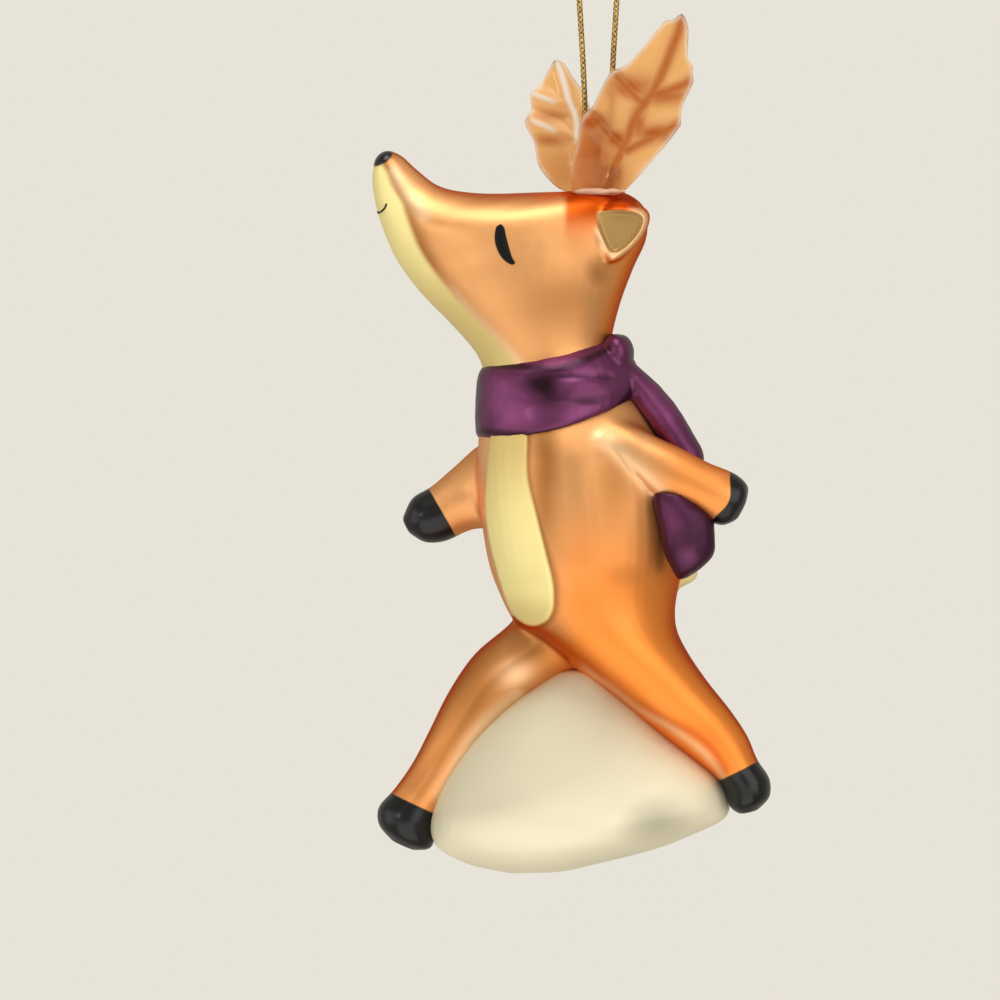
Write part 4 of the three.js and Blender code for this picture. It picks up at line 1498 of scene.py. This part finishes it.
@dataclass
class GlassScarf:
    """The scarf in the glass: a wrapped collar, the roll of its knot, the long end and the short end under the arm."""

    voxel: float = 0.34  # millimetres, as are all lengths here
    relaxing: int = 4
    collar: tuple[Rib, ...] = ribs(
        (-17.5, -42.4, 4, -36, 0, 11),
        (-20.6, -41.6, 7.2, -34.4, 0, 14.5),
        (-21, -38.6, 7.6, -31.8, 0, 14.6),
        (-20.9, -34.6, 6.6, -29, 0, 13.8),
        (-20.4, -30.6, 4.8, -26.4, 0, 12.6),
        (-18.8, -28.8, 2.4, -25, 0, 10.4),
    )
    knot: tuple[Rib, ...] = ribs(
        (2, -31.4, 4.4, -31, -3, 3),
        (0.8, -29.6, 6, -29, -3, 5),
        (0.4, -27.2, 6, -26.4, -3, 5.4),
        (0.6, -25.2, 5, -24.6, -3, 4.4),
        (1.4, -24.2, 3.4, -24.1, -3, 2),
    )
    long_end: tuple[Rib, ...] = ribs(
        (13.6, -49, 17.6, -47.6, -7, 2.4),
        (12.2, -45.4, 18, -44.8, -6.4, 3.4),
        (9.6, -41.4, 16, -40.6, -5.6, 3.6),
        (6.6, -37.4, 13.2, -36.2, -4.8, 3.6),
        (3.4, -33, 9.4, -31.8, -3.8, 3.6),
        (0.6, -29.4, 5, -28, -3, 3),
    )
    short_end: tuple[Rib, ...] = ribs(
        (13.4, -66, 15, -65.6, -11.2, 1.4),
        (12.4, -64.6, 17.4, -63.9, -12, 2.6),
        (11, -61.8, 19.6, -61.4, -12.8, 3.2),
        (10.1, -57.4, 19.7, -58, -13.1, 3.4),
        (9, -52.8, 19.2, -55, -13.1, 3.4),
        (9.2, -50.8, 15.6, -51.6, -12.6, 3),
    )
    droop: float = 2.3  # how much lower the collar hangs at the sides than at the front and the back
    crease: float = 5.0  # across a soft lump of the cloth
    crease_height: float = 0.35
    crease_level: float = 0.85
    top_edge: Points = ((-20.4, -29.2), (-13.4, -29.7), (-7.1, -30.1), (-2.2, -28.6), (1.7, -26.8))
    low_edge: Points = (
        (-20.2, -40.6), (-15.8, -41.2), (-11.9, -41.5), (-5.6, -40.6), (-2.2, -39.6), (1.4, -38.4), (3.9, -36.4),
        (5.6, -34.0),
    )
    # Painted highlights on the crowns of the folds, which keep the clear purple
    lights: tuple[Spot, ...] = spots(
        (-3.4, -30.8, 4.0, 1.8),
        (-14.1, -37.6, 4.0, 2.6),
        (-17.4, -34.5, 2.4, 3.5),
        (10.5, -35.4, 3.5, 4.0),
        (-5.0, -38.0, 5.0, 1.5),
        (12.4, -55.4, 2.4, 3.6),
        (15.2, -62.0, 1.8, 1.6),
    )
    # Soft dents of the collar; the weight is the depth
    dents: tuple[Spot, ...] = spots(
        (-10.4, -32.2, 4.0, 2.5, 0.34),
        (-8.6, -35.0, 3.0, 3.2, 0.28),
        (-1.5, -35.4, 4.5, 0.8, 0.35),
        (-4.2, -31.4, 3.5, 0.7, 0.25),
        (1.5, -31.5, 2.0, 0.8, 0.3),
    )
    plain_shade: float = 0.45  # away from the crowns
    dent_shade: float = 2.3  # for each millimetre of depth
    edge_shade: float = 0.9
    edge_width: float = 1.0
    turned_shade: float = 0.8  # where the cloth turns out of sight
    turned_facing: Span = (0.6, 0.2)
    arm_shade: Ramp = Ramp(0.85, (-49.0, -52.0), (8.0, 10.0))  # on the end that hangs under the arm
    arm_light: float = 0.5  # what a fold's crown takes off that shade

    def shade(self, x: np.ndarray, z: np.ndarray, aside: np.ndarray, depth: np.ndarray) -> np.ndarray:
        """Works out the painted shade on the purple, which the painted highlights on the crowns keep clear.

        Args:
            x: X of each vertex, in millimetres about the crown.
            z: Z of each vertex.
            aside: Size of the Y of each normal.
            depth: How deep the collar is dented at each vertex.

        Returns:
            One share for each vertex.
        """
        edge = np.minimum(*(line_distance(line, x, z) for line in (self.top_edge, self.low_edge)))
        highlit = np.minimum(sum(light.share(x, z) for light in self.lights), 1)
        under_arm = self.arm_shade.share(x, z) * (1 - self.arm_light * highlit)
        return strongest(
            self.plain_shade * (1 - highlit),
            self.dent_shade * depth,
            self.edge_shade * bell(edge, self.edge_width),
            self.turned_shade * soft_step(*self.turned_facing, aside),
            under_arm,
        )

    def build(self) -> None:
        """Builds and dresses the scarf."""
        collar = rib_rings(self.collar)
        collar[..., 2] -= self.droop * MM * (collar[..., 1] / (self.collar[2].half_depth * MM)) ** 2
        ends = [rib_rings(form) for form in (self.knot, self.long_end, self.short_end)]
        scarf = fuse([draw_skin(rings) for rings in (collar, *ends)], self.voxel, self.relaxing)
        x, _, z = figure_corners(scarf).T
        depth = sum(dent.share(x, z) for dent in self.dents)
        put_corners(scarf, corners(scarf) - facing(scarf) * (depth * MM)[:, None])
        swell(scarf, "crease", self.crease, self.crease_height, self.crease_level)
        paint(scarf, "shade", self.shade(x, z, np.abs(facing(scarf)[:, 1]), depth))
        finish_piece(scarf, "scarf", "figure", PURPLE_PEARL.material())


@dataclass
class SnowMound:
    """The snow between the legs: a smooth mound of the same glass, in white pearl."""

    voxel: float = 0.7  # millimetres, as are all lengths here
    relaxing: int = 12
    mound: tuple[Rib, ...] = ribs(
        (-15, -115.9, -5, -115.4, 0, 8),
        (-22, -114.4, 7, -112.6, 0, 14),
        (-27.6, -111.4, 17, -109, 0, 17.4),
        (-28.8, -108, 22.2, -106, 0, 18),
        (-28, -103.6, 22.4, -102.6, 0, 16.4),
        (-25.4, -98, 19.6, -97.6, 0, 13.6),
        (-21, -92, 13.6, -92, 0, 10.6),
        (-14.6, -86, 7.4, -86, 0, 7.8),
        (-8, -81, 3, -81, 0, 5.4),
    )
    hollow: tuple[float, float, float] = (10.4, -15.0, -106.5)  # middle of the dimple near the back hoof
    hollow_reach: tuple[float, float, float] = (7.0, 8.0, 4.8)
    hollow_depth: float = 0.9
    hollow_shade: float = 0.7
    drift: float = 9.0  # across a soft lump of the snow
    drift_height: float = 0.3
    # Painted shade: the snow is greyer along the front leg and on its crest
    lee_shade: Stripe = Stripe(((-27.0, -107.0), (-19.5, -97.0), (-12.0, -88.0), (-4.0, -82.0)), width=10.0, weight=0.6)
    crest: Spot = Spot(-3.0, -97.0, 15.0, 12.0, 0.4)
    lee_rise: Span = (-113.0, -102.0)
    darkest_shade: float = 0.5

    def build(self) -> None:
        """Builds and dresses the snow."""
        snow = fuse([draw_skin(rib_rings(self.mound))], self.voxel, self.relaxing)
        place = figure_corners(snow)
        x, _, z = place.T
        off = np.linalg.norm((place - np.array(self.hollow)) / np.array(self.hollow_reach), axis=1)
        hollow = bell(off, 1.0)
        put_corners(snow, corners(snow) - facing(snow) * (hollow * self.hollow_depth * MM)[:, None])
        swell(snow, "drift", self.drift, self.drift_height, 1.0)
        snow_shade = self.lee_shade.share(x, z) * soft_step(*self.lee_rise, z) + self.crest.share(x, z)
        paint(snow, "shade", np.maximum(self.hollow_shade * hollow, np.minimum(snow_shade, self.darkest_shade)))
        finish_piece(snow, "snow_mound", "figure", WHITE_PEARL.material())


@dataclass
class LeafAntler:
    """One leaf-shaped antler, cast in amber, with a midrib, side veins and panels that billow between them."""

    side: Side
    back_edge: Points  # X and Z from the foot to the tip, in millimetres about the crown
    front_edge: Points
    midrib: Points
    veins: Sequence[Points]
    pools: tuple[Spot, ...]  # spots of deeper tint: painted shade on the panels
    vein_depth: float  # how much deeper the tint is along a vein
    crest: float  # painted glint: how much paler the tint is on the crests of the upper veins
    across: int = 64
    along: int = 120
    rows: int = 400  # places along each edge that the grid is fitted to
    spread: float = 4.35  # axis to the inner face of the foot
    lift: float = 1.2  # crown to the foot
    splay: float = 0.13  # outward lean, radians
    thickness: float = 1.0
    middle: float = 0.85  # inner face of the solid to the middle of the blade
    vein_rise: float = 0.42
    vein_width: float = 0.8
    vein_tint_width: float = 1.0
    billow: float = 0.55
    billow_width: float = 3.2  # vein to the crown of a panel
    billow_rise: Span = (0.5, 5.0)  # height above the foot
    # Painted highlights: a pale rim, and glints along the midrib and the upper veins, kept off the foot
    rim_width: float = 0.45
    rim_highlight: float = 0.6
    spine_width: float = 0.45
    spine_rise: Span = (8.0, 10.0)
    glint_width: float = 0.33
    glint_run: Span = (-6.0, -8.5)
    highlight_rise: Span = (1.5, 3.5)
    glue_reach: tuple[float, float] = (1.5, 0.85)  # across and up, from the middle of the bead
    glue_margin: float = 0.1  # how much longer the bead is than the foot, at each end
    glue_out: float = 0.9  # inner face of the foot to the middle of the bead
    glue_up: float = -0.15
    glue_sides: int = 64
    glue_lump: float = 1.8
    glue_lumpiness: float = 0.9
    glue_level: float = 0.6
    glue_glow: Span = (0.2, 0.7)  # Z between which the leaf comes to shine into the bead

    def vein_distance(self, x: np.ndarray, z: np.ndarray) -> np.ndarray:
        """How far each place is from the nearest midrib or vein, in millimetres."""
        return np.minimum.reduce([line_distance(line, x, z) for line in (self.midrib, *self.veins)])

    def outline_places(self, u: np.ndarray, v: np.ndarray) -> tuple[np.ndarray, np.ndarray]:
        """Spreads a grid between the leaf's edges and its midrib.

        Args:
            u: Place across the grid, from -1 at the front edge to 1 at the back edge.
            v: Place along it, from -1 at the foot to 1 at the tip.

        Returns:
            X and Z of each place, in millimetres about the crown.
        """
        rows, share = np.linspace(0, 1, self.rows), (v + 1) / 2
        back, front, mid = (
            np.stack([np.interp(share, rows, line[:, k]) for k in (0, 1)], axis=1)
            for line in (evenly(points, self.rows) for points in (self.back_edge, self.front_edge, self.midrib))
        )
        edge = np.where((u > 0)[:, None], back, front)
        x, z = (mid + np.abs(u)[:, None] * (edge - mid)).T
        return x, z

    def tint(self, blade: bpy.types.Object, x: np.ndarray, z: np.ndarray, near: np.ndarray) -> None:
        """Stores where the amber is deep, along the veins and in spots of painted shade, and where painted highlights
        make it pale.

        Args:
            blade: The blade.
            x: X of each vertex, in millimetres about the crown.
            z: Z of each vertex.
            near: How far each vertex is from the nearest vein.
        """
        pools = [pool.share(x, z) for pool in self.pools]
        paint(blade, "deep_share", strongest(self.vein_depth * bell(near, self.vein_tint_width), *pools))
        inside = np.maximum(edge_distance((*self.back_edge, *self.front_edge[-2::-1]), x, z), 0)
        rim = self.rim_highlight * bell(inside, self.rim_width)
        spine = bell(line_distance(self.midrib, x, z), self.spine_width) * soft_step(*self.spine_rise, z)
        glint = bell(near, self.glint_width) * soft_step(*self.glint_run, x)
        pale = strongest(rim, self.crest * spine, self.crest * glint)
        paint(blade, "pale", pale * soft_step(*self.highlight_rise, z))

    def blade(self) -> bpy.types.Object:
        """Shapes the blade from a grid and gives it its thickness, its veins and its tints.

        Returns:
            The blade, with its foot at the origin.
        """
        blade = add_primitive(
            bpy.ops.mesh.primitive_grid_add, x_subdivisions=self.across, y_subdivisions=self.along, size=2.0
        )
        u, v, _ = corners(blade).T
        x, z = self.outline_places(u, v)
        panel = soft_step(0, self.billow_width, self.vein_distance(x, z)) - 0.5
        out = self.middle + self.billow * soft_step(*self.billow_rise, z - self.lift) * panel
        put_corners(blade, np.stack([x, out, z - self.lift], axis=1) * MM)
        apply_modifier(blade, "SOLIDIFY", thickness=self.thickness * MM, offset=0.0)
        place = corners(blade) / MM
        x, z = place[:, 0], place[:, 2] + self.lift
        near = self.vein_distance(x, z)
        rise = self.vein_rise * bell(near, self.vein_width)
        put_corners(blade, (place + facing(blade) * rise[:, None]) * MM)
        self.tint(blade, x, z, near)
        apply_modifier(blade, "SMOOTH", factor=0.5, iterations=1)
        return blade

    def set_up(self, blade: bpy.types.Object) -> None:
        """Stands the blade on the crown, on its side and with its lean.

        Args:
            blade: The blade, with its foot at the origin.
        """
        outward = self.side.value
        x, y, z = (corners(blade) / MM).T
        y = outward * y
        cos, sin = math.cos(-outward * self.splay), math.sin(-outward * self.splay)
        places = np.stack([x, y * cos - z * sin, y * sin + z * cos], axis=1)
        put_corners(blade, on_figure(places + np.array((0, outward * self.spread, self.lift))))
        face_outward(blade)

    def glue(self) -> bpy.types.Object:
        """Makes the lumpy bead of glue round the foot.

        Returns:
            The bead.
        """
        back, front = self.back_edge[0][0], self.front_edge[0][0]
        bead = add_primitive(
            bpy.ops.mesh.primitive_uv_sphere_add,
            segments=self.glue_sides,
            ring_count=self.glue_sides // 2,
            radius=MM,
        )
        middle = np.array(((back + front) / 2, self.side.value * (self.spread + self.glue_out), self.glue_up))
        reach = np.array(((back - front) / 2 + self.glue_margin, *self.glue_reach))
        put_corners(bead, on_figure(corners(bead) / MM * reach + middle))
        swell(bead, "lumps", self.glue_lump, self.glue_lumpiness, self.glue_level)
        paint(bead, "deep_share", soft_step(*self.glue_glow, figure_corners(bead)[:, 2]))
        return bead

    def build(self, cast: bpy.types.Material, bead: bpy.types.Material) -> None:
        """Builds and dresses the antler and its glue.

        Args:
            cast: Material of the leaf.
            bead: Material of the glue.
        """
        name = self.side.name.lower()
        blade = self.blade()
        self.set_up(blade)
        finish_piece(blade, f"leaf_antler_{name}", "figure", cast)
        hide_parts(f"antler_{name}")
        glue = finish_piece(self.glue(), f"glue_bead_{name}", "figure", bead)
        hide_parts(f"antler_glue_{name}")


LEFT_LEAF = LeafAntler(
    side=Side.LEFT,
    back_edge=(
        (4.6, 0.3), (7.1, 2.9), (9.3, 5.5), (11.9, 8.6), (13.6, 11.0), (13.8, 11.8), (14.3, 14.7), (15.6, 17.7),
        (15.9, 19.2), (16.0, 21.1), (15.1, 22.9), (15.1, 25.8), (15.0, 28.3), (14.1, 29.9),
    ),
    front_edge=(
        (-4.6, 0.3), (-4.6, 4.7), (-3.7, 7.7), (-3.1, 11.4), (-2.5, 12.8), (-1.1, 14.2), (0.0, 16.6), (1.7, 19.6),
        (2.6, 20.3), (4.8, 21.6), (7.6, 24.6), (10.4, 28.0), (11.5, 29.0), (12.8, 29.2), (14.1, 29.9),
    ),
    midrib=(
        (1.3, 0.3), (1.9, 2.1), (2.8, 4.9), (3.9, 6.9), (5.0, 9.2), (6.1, 12.3), (7.6, 14.7), (8.9, 16.6),
        (10.8, 20.1), (12.3, 24.0), (13.6, 27.4), (14.1, 29.9),
    ),
    veins=(
        ((3.9, 7.3), (1.4, 10.0), (-1.1, 12.9)),
        ((7.6, 14.9), (5.3, 17.2), (2.8, 19.9)),
        ((8.9, 16.3), (12.4, 17.3), (15.8, 18.8)),
        ((4.8, 7.0), (9.2, 9.2), (13.6, 11.5)),
    ),
    pools=spots(
        (-0.5, 6.5, 4.5, 7.0, 0.7), (2.6, 3.2, 2.5, 3.0, 0.65), (5.4, 17.8, 4.0, 2.2, 0.85),
        (11.0, 16.4, 4.5, 1.7, 0.85), (9.5, 10.0, 4.5, 1.6, 0.85), (6.8, 11.8, 1.5, 3.6, 0.75),
        (-1.0, 11.8, 3.0, 1.9, 1.0), (2.9, 9.0, 2.2, 1.8, 1.0),
    ),
    vein_depth=0.8,
    crest=0.0,
)
RIGHT_LEAF = LeafAntler(
    side=Side.RIGHT,
    back_edge=(
        (0.5, 0.3), (1.0, 7.0), (-0.3, 12.1), (-2.3, 16.4), (-2.8, 17.9), (-4.6, 20.5), (-5.8, 22.3), (-7.2, 22.8),
    ),
    front_edge=(
        (-4.8, 0.3), (-6.6, 0.9), (-8.7, 2.9), (-10.2, 5.3), (-10.9, 9.0), (-11.9, 11.0), (-12.3, 12.3),
        (-11.4, 14.2), (-11.3, 17.0), (-10.5, 17.7), (-8.9, 20.3), (-7.8, 22.2), (-7.2, 22.8),
    ),
    midrib=(
        (-2.9, 0.3), (-3.4, 5.4), (-3.6, 9.5), (-3.7, 13.1), (-4.8, 15.7), (-5.8, 19.4), (-6.6, 21.8), (-7.2, 22.8),
    ),
    veins=(
        ((-4.1, 14.7), (-7.5, 15.8), (-11.1, 17.1)),
        ((-3.5, 9.2), (-7.1, 10.7), (-11.2, 12.5)),
        ((-3.7, 12.9), (-2.4, 14.6), (-1.4, 15.6)),
        ((-3.6, 8.8), (-1.4, 10.5), (0.3, 11.9)),
    ),
    pools=spots((-6.0, 4.0, 5.0, 4.0, 0.35), (-8.0, 13.4, 3.5, 1.2, 0.6), (-8.0, 9.2, 3.5, 1.2, 0.65)),
    vein_depth=0.2,
    crest=1.0,
)


def tube_rings(path: np.ndarray, radius: float, sides: int) -> np.ndarray:
    """The rings of a round tube along a path that lies in the plane of Y and Z.

    Args:
        path: Places along the middle line.
        radius: Radius of the tube.
        sides: Corners of each ring.

    Returns:
        An array of rings, corners and coordinates.
    """
    along = np.gradient(path, axis=0)
    along /= np.linalg.norm(along, axis=1)[:, None]
    level = np.array((1.0, 0.0, 0.0))
    upright = np.cross(along, level)
    upright /= np.linalg.norm(upright, axis=1)[:, None]
    angle = 2 * math.pi * np.arange(sides) / sides
    return path[:, None] + radius * (
        upright[:, None] * np.cos(angle)[None, :, None] + level[None, None] * np.sin(angle)[None, :, None]
    )


@dataclass
class CapAndWire:
    """The pressed cap on the glass neck and the spring wire through it."""

    cap_radius: float = 3.7  # millimetres, as are all lengths here
    cap_top: float = 4.3
    cap_rings: int = 8
    top_insets: tuple[float, float] = (0.45, 0.6)
    skirt_lift: float = 0.7
    sheet: float = 0.36
    side_margin: float = 0.1  # what is this close to the radius is the side
    flutes: int = 14
    flute_sides: int = 8
    flute_depth: float = 0.25
    flute_fade: float = 0.8  # height above the skirt below which the flutes are full
    rounding: float = 0.5  # height of the rounded top edge
    rounding_share: float = 0.08  # how much narrower the top is
    hole_radius: float = 0.75
    hole_sides: int = 32
    hole_depth: float = 3.0
    crisp_angle: float = 40.0  # degrees
    leg_spacing: float = 2.3
    wire_radius: float = 0.45
    wire_sides: int = 16
    wire_steps: int = 150
    wire_half: Points = (
        (1.15, -10.7), (1.15, -3.2), (1.15, 3.9), (1.6, 5.275), (2.555, 6.525), (2.95, 8.0), (2.086, 10.086),
    )
    eye_top: float = 10.95

    @staticmethod
    def select_level(cap: bpy.types.Object, way: int) -> None:
        """Selects the faces of an object in edit mode that face straight up or down.

        Args:
            cap: The cup.
            way: 1 for up, -1 for down.
        """
        bpy.ops.mesh.select_all(action="DESELECT")
        mesh = bmesh.from_edit_mesh(cap.data)
        for face in mesh.faces:
            face.select_set(way * face.normal.z > 0.9)
        bmesh.update_edit_mesh(cap.data)

    def flute(self, cap: bpy.types.Object) -> None:
        """Presses the flutes into the cup's side and rounds its top edge.

        Args:
            cap: The cup.
        """
        places = corners(cap)
        x, y, _ = places.T
        height = figure_corners(cap)[:, 2]
        reach = np.hypot(x, y)
        side = reach > (self.cap_radius - self.side_margin) * MM
        wave = (1 + np.cos(self.flutes * np.arctan2(y, x))) / 2
        depth = self.flute_depth * MM * wave * soft_step(self.cap_top, self.skirt_lift + self.flute_fade, height)
        rounded = self.rounding_share * soft_step(self.cap_top - self.rounding, self.cap_top, height)
        scale = (1 + side * depth / np.maximum(reach, MM)) * (1 - side * rounded)
        places[:, :2] *= scale[:, None]
        put_corners(cap, places)

    def cap(self) -> bpy.types.Object:
        """Makes the cup, fluted towards its skirt, with two holes.

        Returns:
            The cup.
        """
        depth = self.cap_top - self.skirt_lift
        cap = add_primitive(
            bpy.ops.mesh.primitive_cylinder_add,
            vertices=self.flute_sides * self.flutes,
            radius=self.cap_radius * MM,
            depth=depth * MM,
            end_fill_type="NGON",
            location=on_figure((0, 0, (self.cap_top + self.skirt_lift) / 2)),
        )
        bpy.ops.object.transform_apply(location=True, rotation=True, scale=True)
        with editing(cap):
            bpy.ops.mesh.select_mode(type="FACE")
            self.select_level(cap, -1)
            bpy.ops.mesh.delete(type="FACE")
            for step in range(1, self.cap_rings):
                bpy.ops.mesh.select_all(action="SELECT")
                height = self.skirt_lift + depth * step / self.cap_rings
                bpy.ops.mesh.bisect(plane_co=on_figure((0, 0, height)), plane_no=(0, 0, 1))
            self.select_level(cap, 1)
            for inset in self.top_insets:
                bpy.ops.mesh.inset(thickness=inset * MM)
        self.flute(cap)
        apply_modifier(cap, "SOLIDIFY", thickness=self.sheet * MM, offset=-1.0)
        for side in Side:
            hole_at = (0, side.value * self.leg_spacing / 2, self.cap_top)
            cut_round(cap, self.hole_sides, self.hole_radius, self.hole_depth, hole_at, 0.0)
        return cap

    def wire(self) -> bpy.types.Object:
        """Draws the wire: up one leg, round the eye and down the other leg.

        Returns:
            The wire.
        """
        near = [(0, -y, z) for y, z in self.wire_half]
        far = [(0, y, z) for y, z in reversed(self.wire_half)]
        path = evenly(on_figure([*near, (0, 0, self.eye_top), *far]), self.wire_steps)
        return draw_skin(tube_rings(path, self.wire_radius * MM, self.wire_sides))

    def build(self) -> None:
        """Builds and dresses the cap and the wire."""
        cap = finish_piece(self.cap(), "pressed_cap", "cap", PRESSED_BRASS.material())
        select_only([cap])
        bpy.ops.object.shade_smooth_by_angle(angle=math.radians(self.crisp_angle))
        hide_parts("neck_cap")
        wire = finish_piece(self.wire(), "spring_wire", "wire", DRAWN_WIRE.material())
        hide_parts("hanger_wire")


@dataclass
class CordLoop:
    """The braided cord loop and the knot that closes it."""

    diameter: float = 1.0  # millimetres
    length: float = 0.1385  # metres
    sides: int = 24
    steps: int = 1500
    braid_pitch: float = 2.6  # millimetres along the cord for one turn of a thread
    braid_depth: float = 0.09
    threads: int = 3  # that wind one way; as many wind the other way
    thread_width: float = 1.7  # how narrow a thread's crown is
    thread_dip: float = 0.7  # how far a thread dips towards its crossings
    # X and Z of one strand from the knot down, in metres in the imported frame
    strand: Points = (
        (-0.0019, 0.0002), (-0.0035, -0.0008), (-0.0048, -0.0023), (-0.0054, -0.004), (-0.0055, -0.0056),
        (-0.0052, -0.010), (-0.0047, -0.019), (-0.004, -0.030), (-0.0032, -0.043), (-0.0026, -0.053), (-0.0023, -0.059),
    )
    bight_middle: float = -0.0643
    bight_radius: float = 0.002
    bight_turn: Sequence[float] = (-75, -35, 0, 35, 75)  # degrees
    knot_entry: tuple[float, float, float] = (1.9, 0.0, 0.2)  # millimetres, as are the next ones
    wind_radius: float = 1.15
    wind_floor: float = 0.45
    wind_pitch: float = 1.02
    wind_turns: float = 2.25
    wind_steps: int = 40
    tail_length: float = 6.4

    def route(self) -> list[tuple[float, float, float]]:
        """Lists the points that the cord follows.

        Returns:
            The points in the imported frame, from one side of the knot to the other.
        """
        bight = [
            (self.bight_radius * math.sin(a), 0.0, self.bight_middle - self.bight_radius * math.cos(a))
            for a in map(math.radians, self.bight_turn)
        ]
        down = [(x, 0.0, z) for x, z in self.strand]
        return [*down, *bight, *((-x, y, z) for x, y, z in reversed(down))]

    def crowns(self, steps: np.ndarray) -> np.ndarray:
        """Works out how high the braid's threads stand.

        Args:
            steps: How far along the cord each ring is, in millimetres.

        Returns:
            A share for each ring and corner: 1 on the crown of a thread.
        """
        share = np.arange(self.sides) / self.sides
        one = self.threads * share[None] + self.threads * steps[:, None] / self.braid_pitch
        other = self.threads * share[None] - self.threads * steps[:, None] / self.braid_pitch
        over = (np.floor(one) + np.floor(other)) % 2 < 1
        across = np.where(over, other, one) % 1 - 0.5
        onward = np.where(over, one, other) % 1 - 0.5
        rounded = np.sqrt(np.clip(1 - (self.thread_width * across) ** 2, 0, 1))
        return rounded * np.cos(math.pi * self.thread_dip * onward)

    def braid(self, path: np.ndarray) -> bpy.types.Object:
        """Makes a braided tube along a path.

        Args:
            path: Places along the middle line, close together.

        Returns:
            The new object.
        """
        along = np.gradient(path, axis=0)
        along /= np.linalg.norm(along, axis=1)[:, None]
        level = np.zeros_like(along)
        level[0] = np.cross(along[0], (0.3, 0.0, 1.0) if abs(along[0][2]) < 0.8 else (1.0, 0.0, 0.0))
        for i in range(1, len(path)):
            level[i] = level[i - 1] - along[i] * (level[i - 1] @ along[i])
        level /= np.linalg.norm(level, axis=1)[:, None]
        upright = np.cross(along, level)
        crown = self.crowns(np.concatenate([[0.0], np.cumsum(np.linalg.norm(np.diff(path, axis=0), axis=1))]) / MM)
        radius = (self.diameter / 2 - self.braid_depth * (1 - crown)) * MM
        angle = 2 * math.pi * np.arange(self.sides) / self.sides
        turned = level[:, None] * np.cos(angle)[None, :, None] + upright[:, None] * np.sin(angle)[None, :, None]
        rings = path[:, None] + radius[..., None] * turned
        number = np.arange(rings.shape[0] * self.sides).reshape(-1, self.sides)
        after = np.roll(number, -1, axis=1)
        walls = np.stack([number[:-1], after[:-1], after[1:], number[1:]], axis=-1).reshape(-1, 4)
        mesh = bpy.data.meshes.new("braid")
        mesh.from_pydata(rings.reshape(-1, 3), [], [*walls.tolist(), number[0][::-1].tolist(), number[-1].tolist()])
        cord = bpy.data.objects.new("braid", mesh)
        bpy.context.collection.objects.link(cord)
        paint(cord, "crown", crown.ravel())
        return cord

    def knot(self) -> bpy.types.Object:
        """Makes the knot: one end wound round the other, and two cut tails.

        Returns:
            The knot.
        """
        x, y, z = self.knot_entry
        winding = [
            (
                -self.wind_radius * math.cos(a),
                -self.wind_radius * math.sin(a),
                self.wind_floor + self.wind_pitch * a / (2 * math.pi),
            )
            for a in np.linspace(0, self.wind_turns * 2 * math.pi, self.wind_steps)
        ]
        wound = [(-x, y, z), *winding, (-1.3, -0.9, 4.2), (-2.1, -0.6, self.tail_length)]
        through = [(x, y, z), (0.9, 0.0, 0.25), (0.1, 0.0, 1.0), (0.0, 0.0, 2.4), (0.6, 0.1, 4.0)]
        through.append((1.9, 0.2, self.tail_length))
        parts = [self.braid(evenly(np.asarray(line) * MM, 20 * len(line))) for line in (wound, through)]
        select_only(parts)
        bpy.ops.object.join()
        return parts[0]

    def build(self) -> None:
        yarn = MetallicBraid().material()
        path = evenly(self.route(), self.steps)
        cord = finish_piece(self.braid(path), "braided_cord", "cord", yarn)
        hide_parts("hang_cord")
        knot = finish_piece(self.knot(), "tied_knot", "cord", yarn)
        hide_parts("cord_knot")


def main() -> None:
    """Builds the ornament and its studio in order."""
    logging.basicConfig(level=logging.INFO, format="%(message)s")
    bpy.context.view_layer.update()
    Studio().build()
    CordLoop().build()
    GlassFigure().build()
    GlassScarf().build()
    SnowMound().build()
    amber, glue = AMBER_ACRYLIC.material(), CLEAR_GLUE.material()
    for leaf in (LEFT_LEAF, RIGHT_LEAF):
        leaf.build(amber, glue)
    CapAndWire().build()


if __name__ == "__main__":
    main()
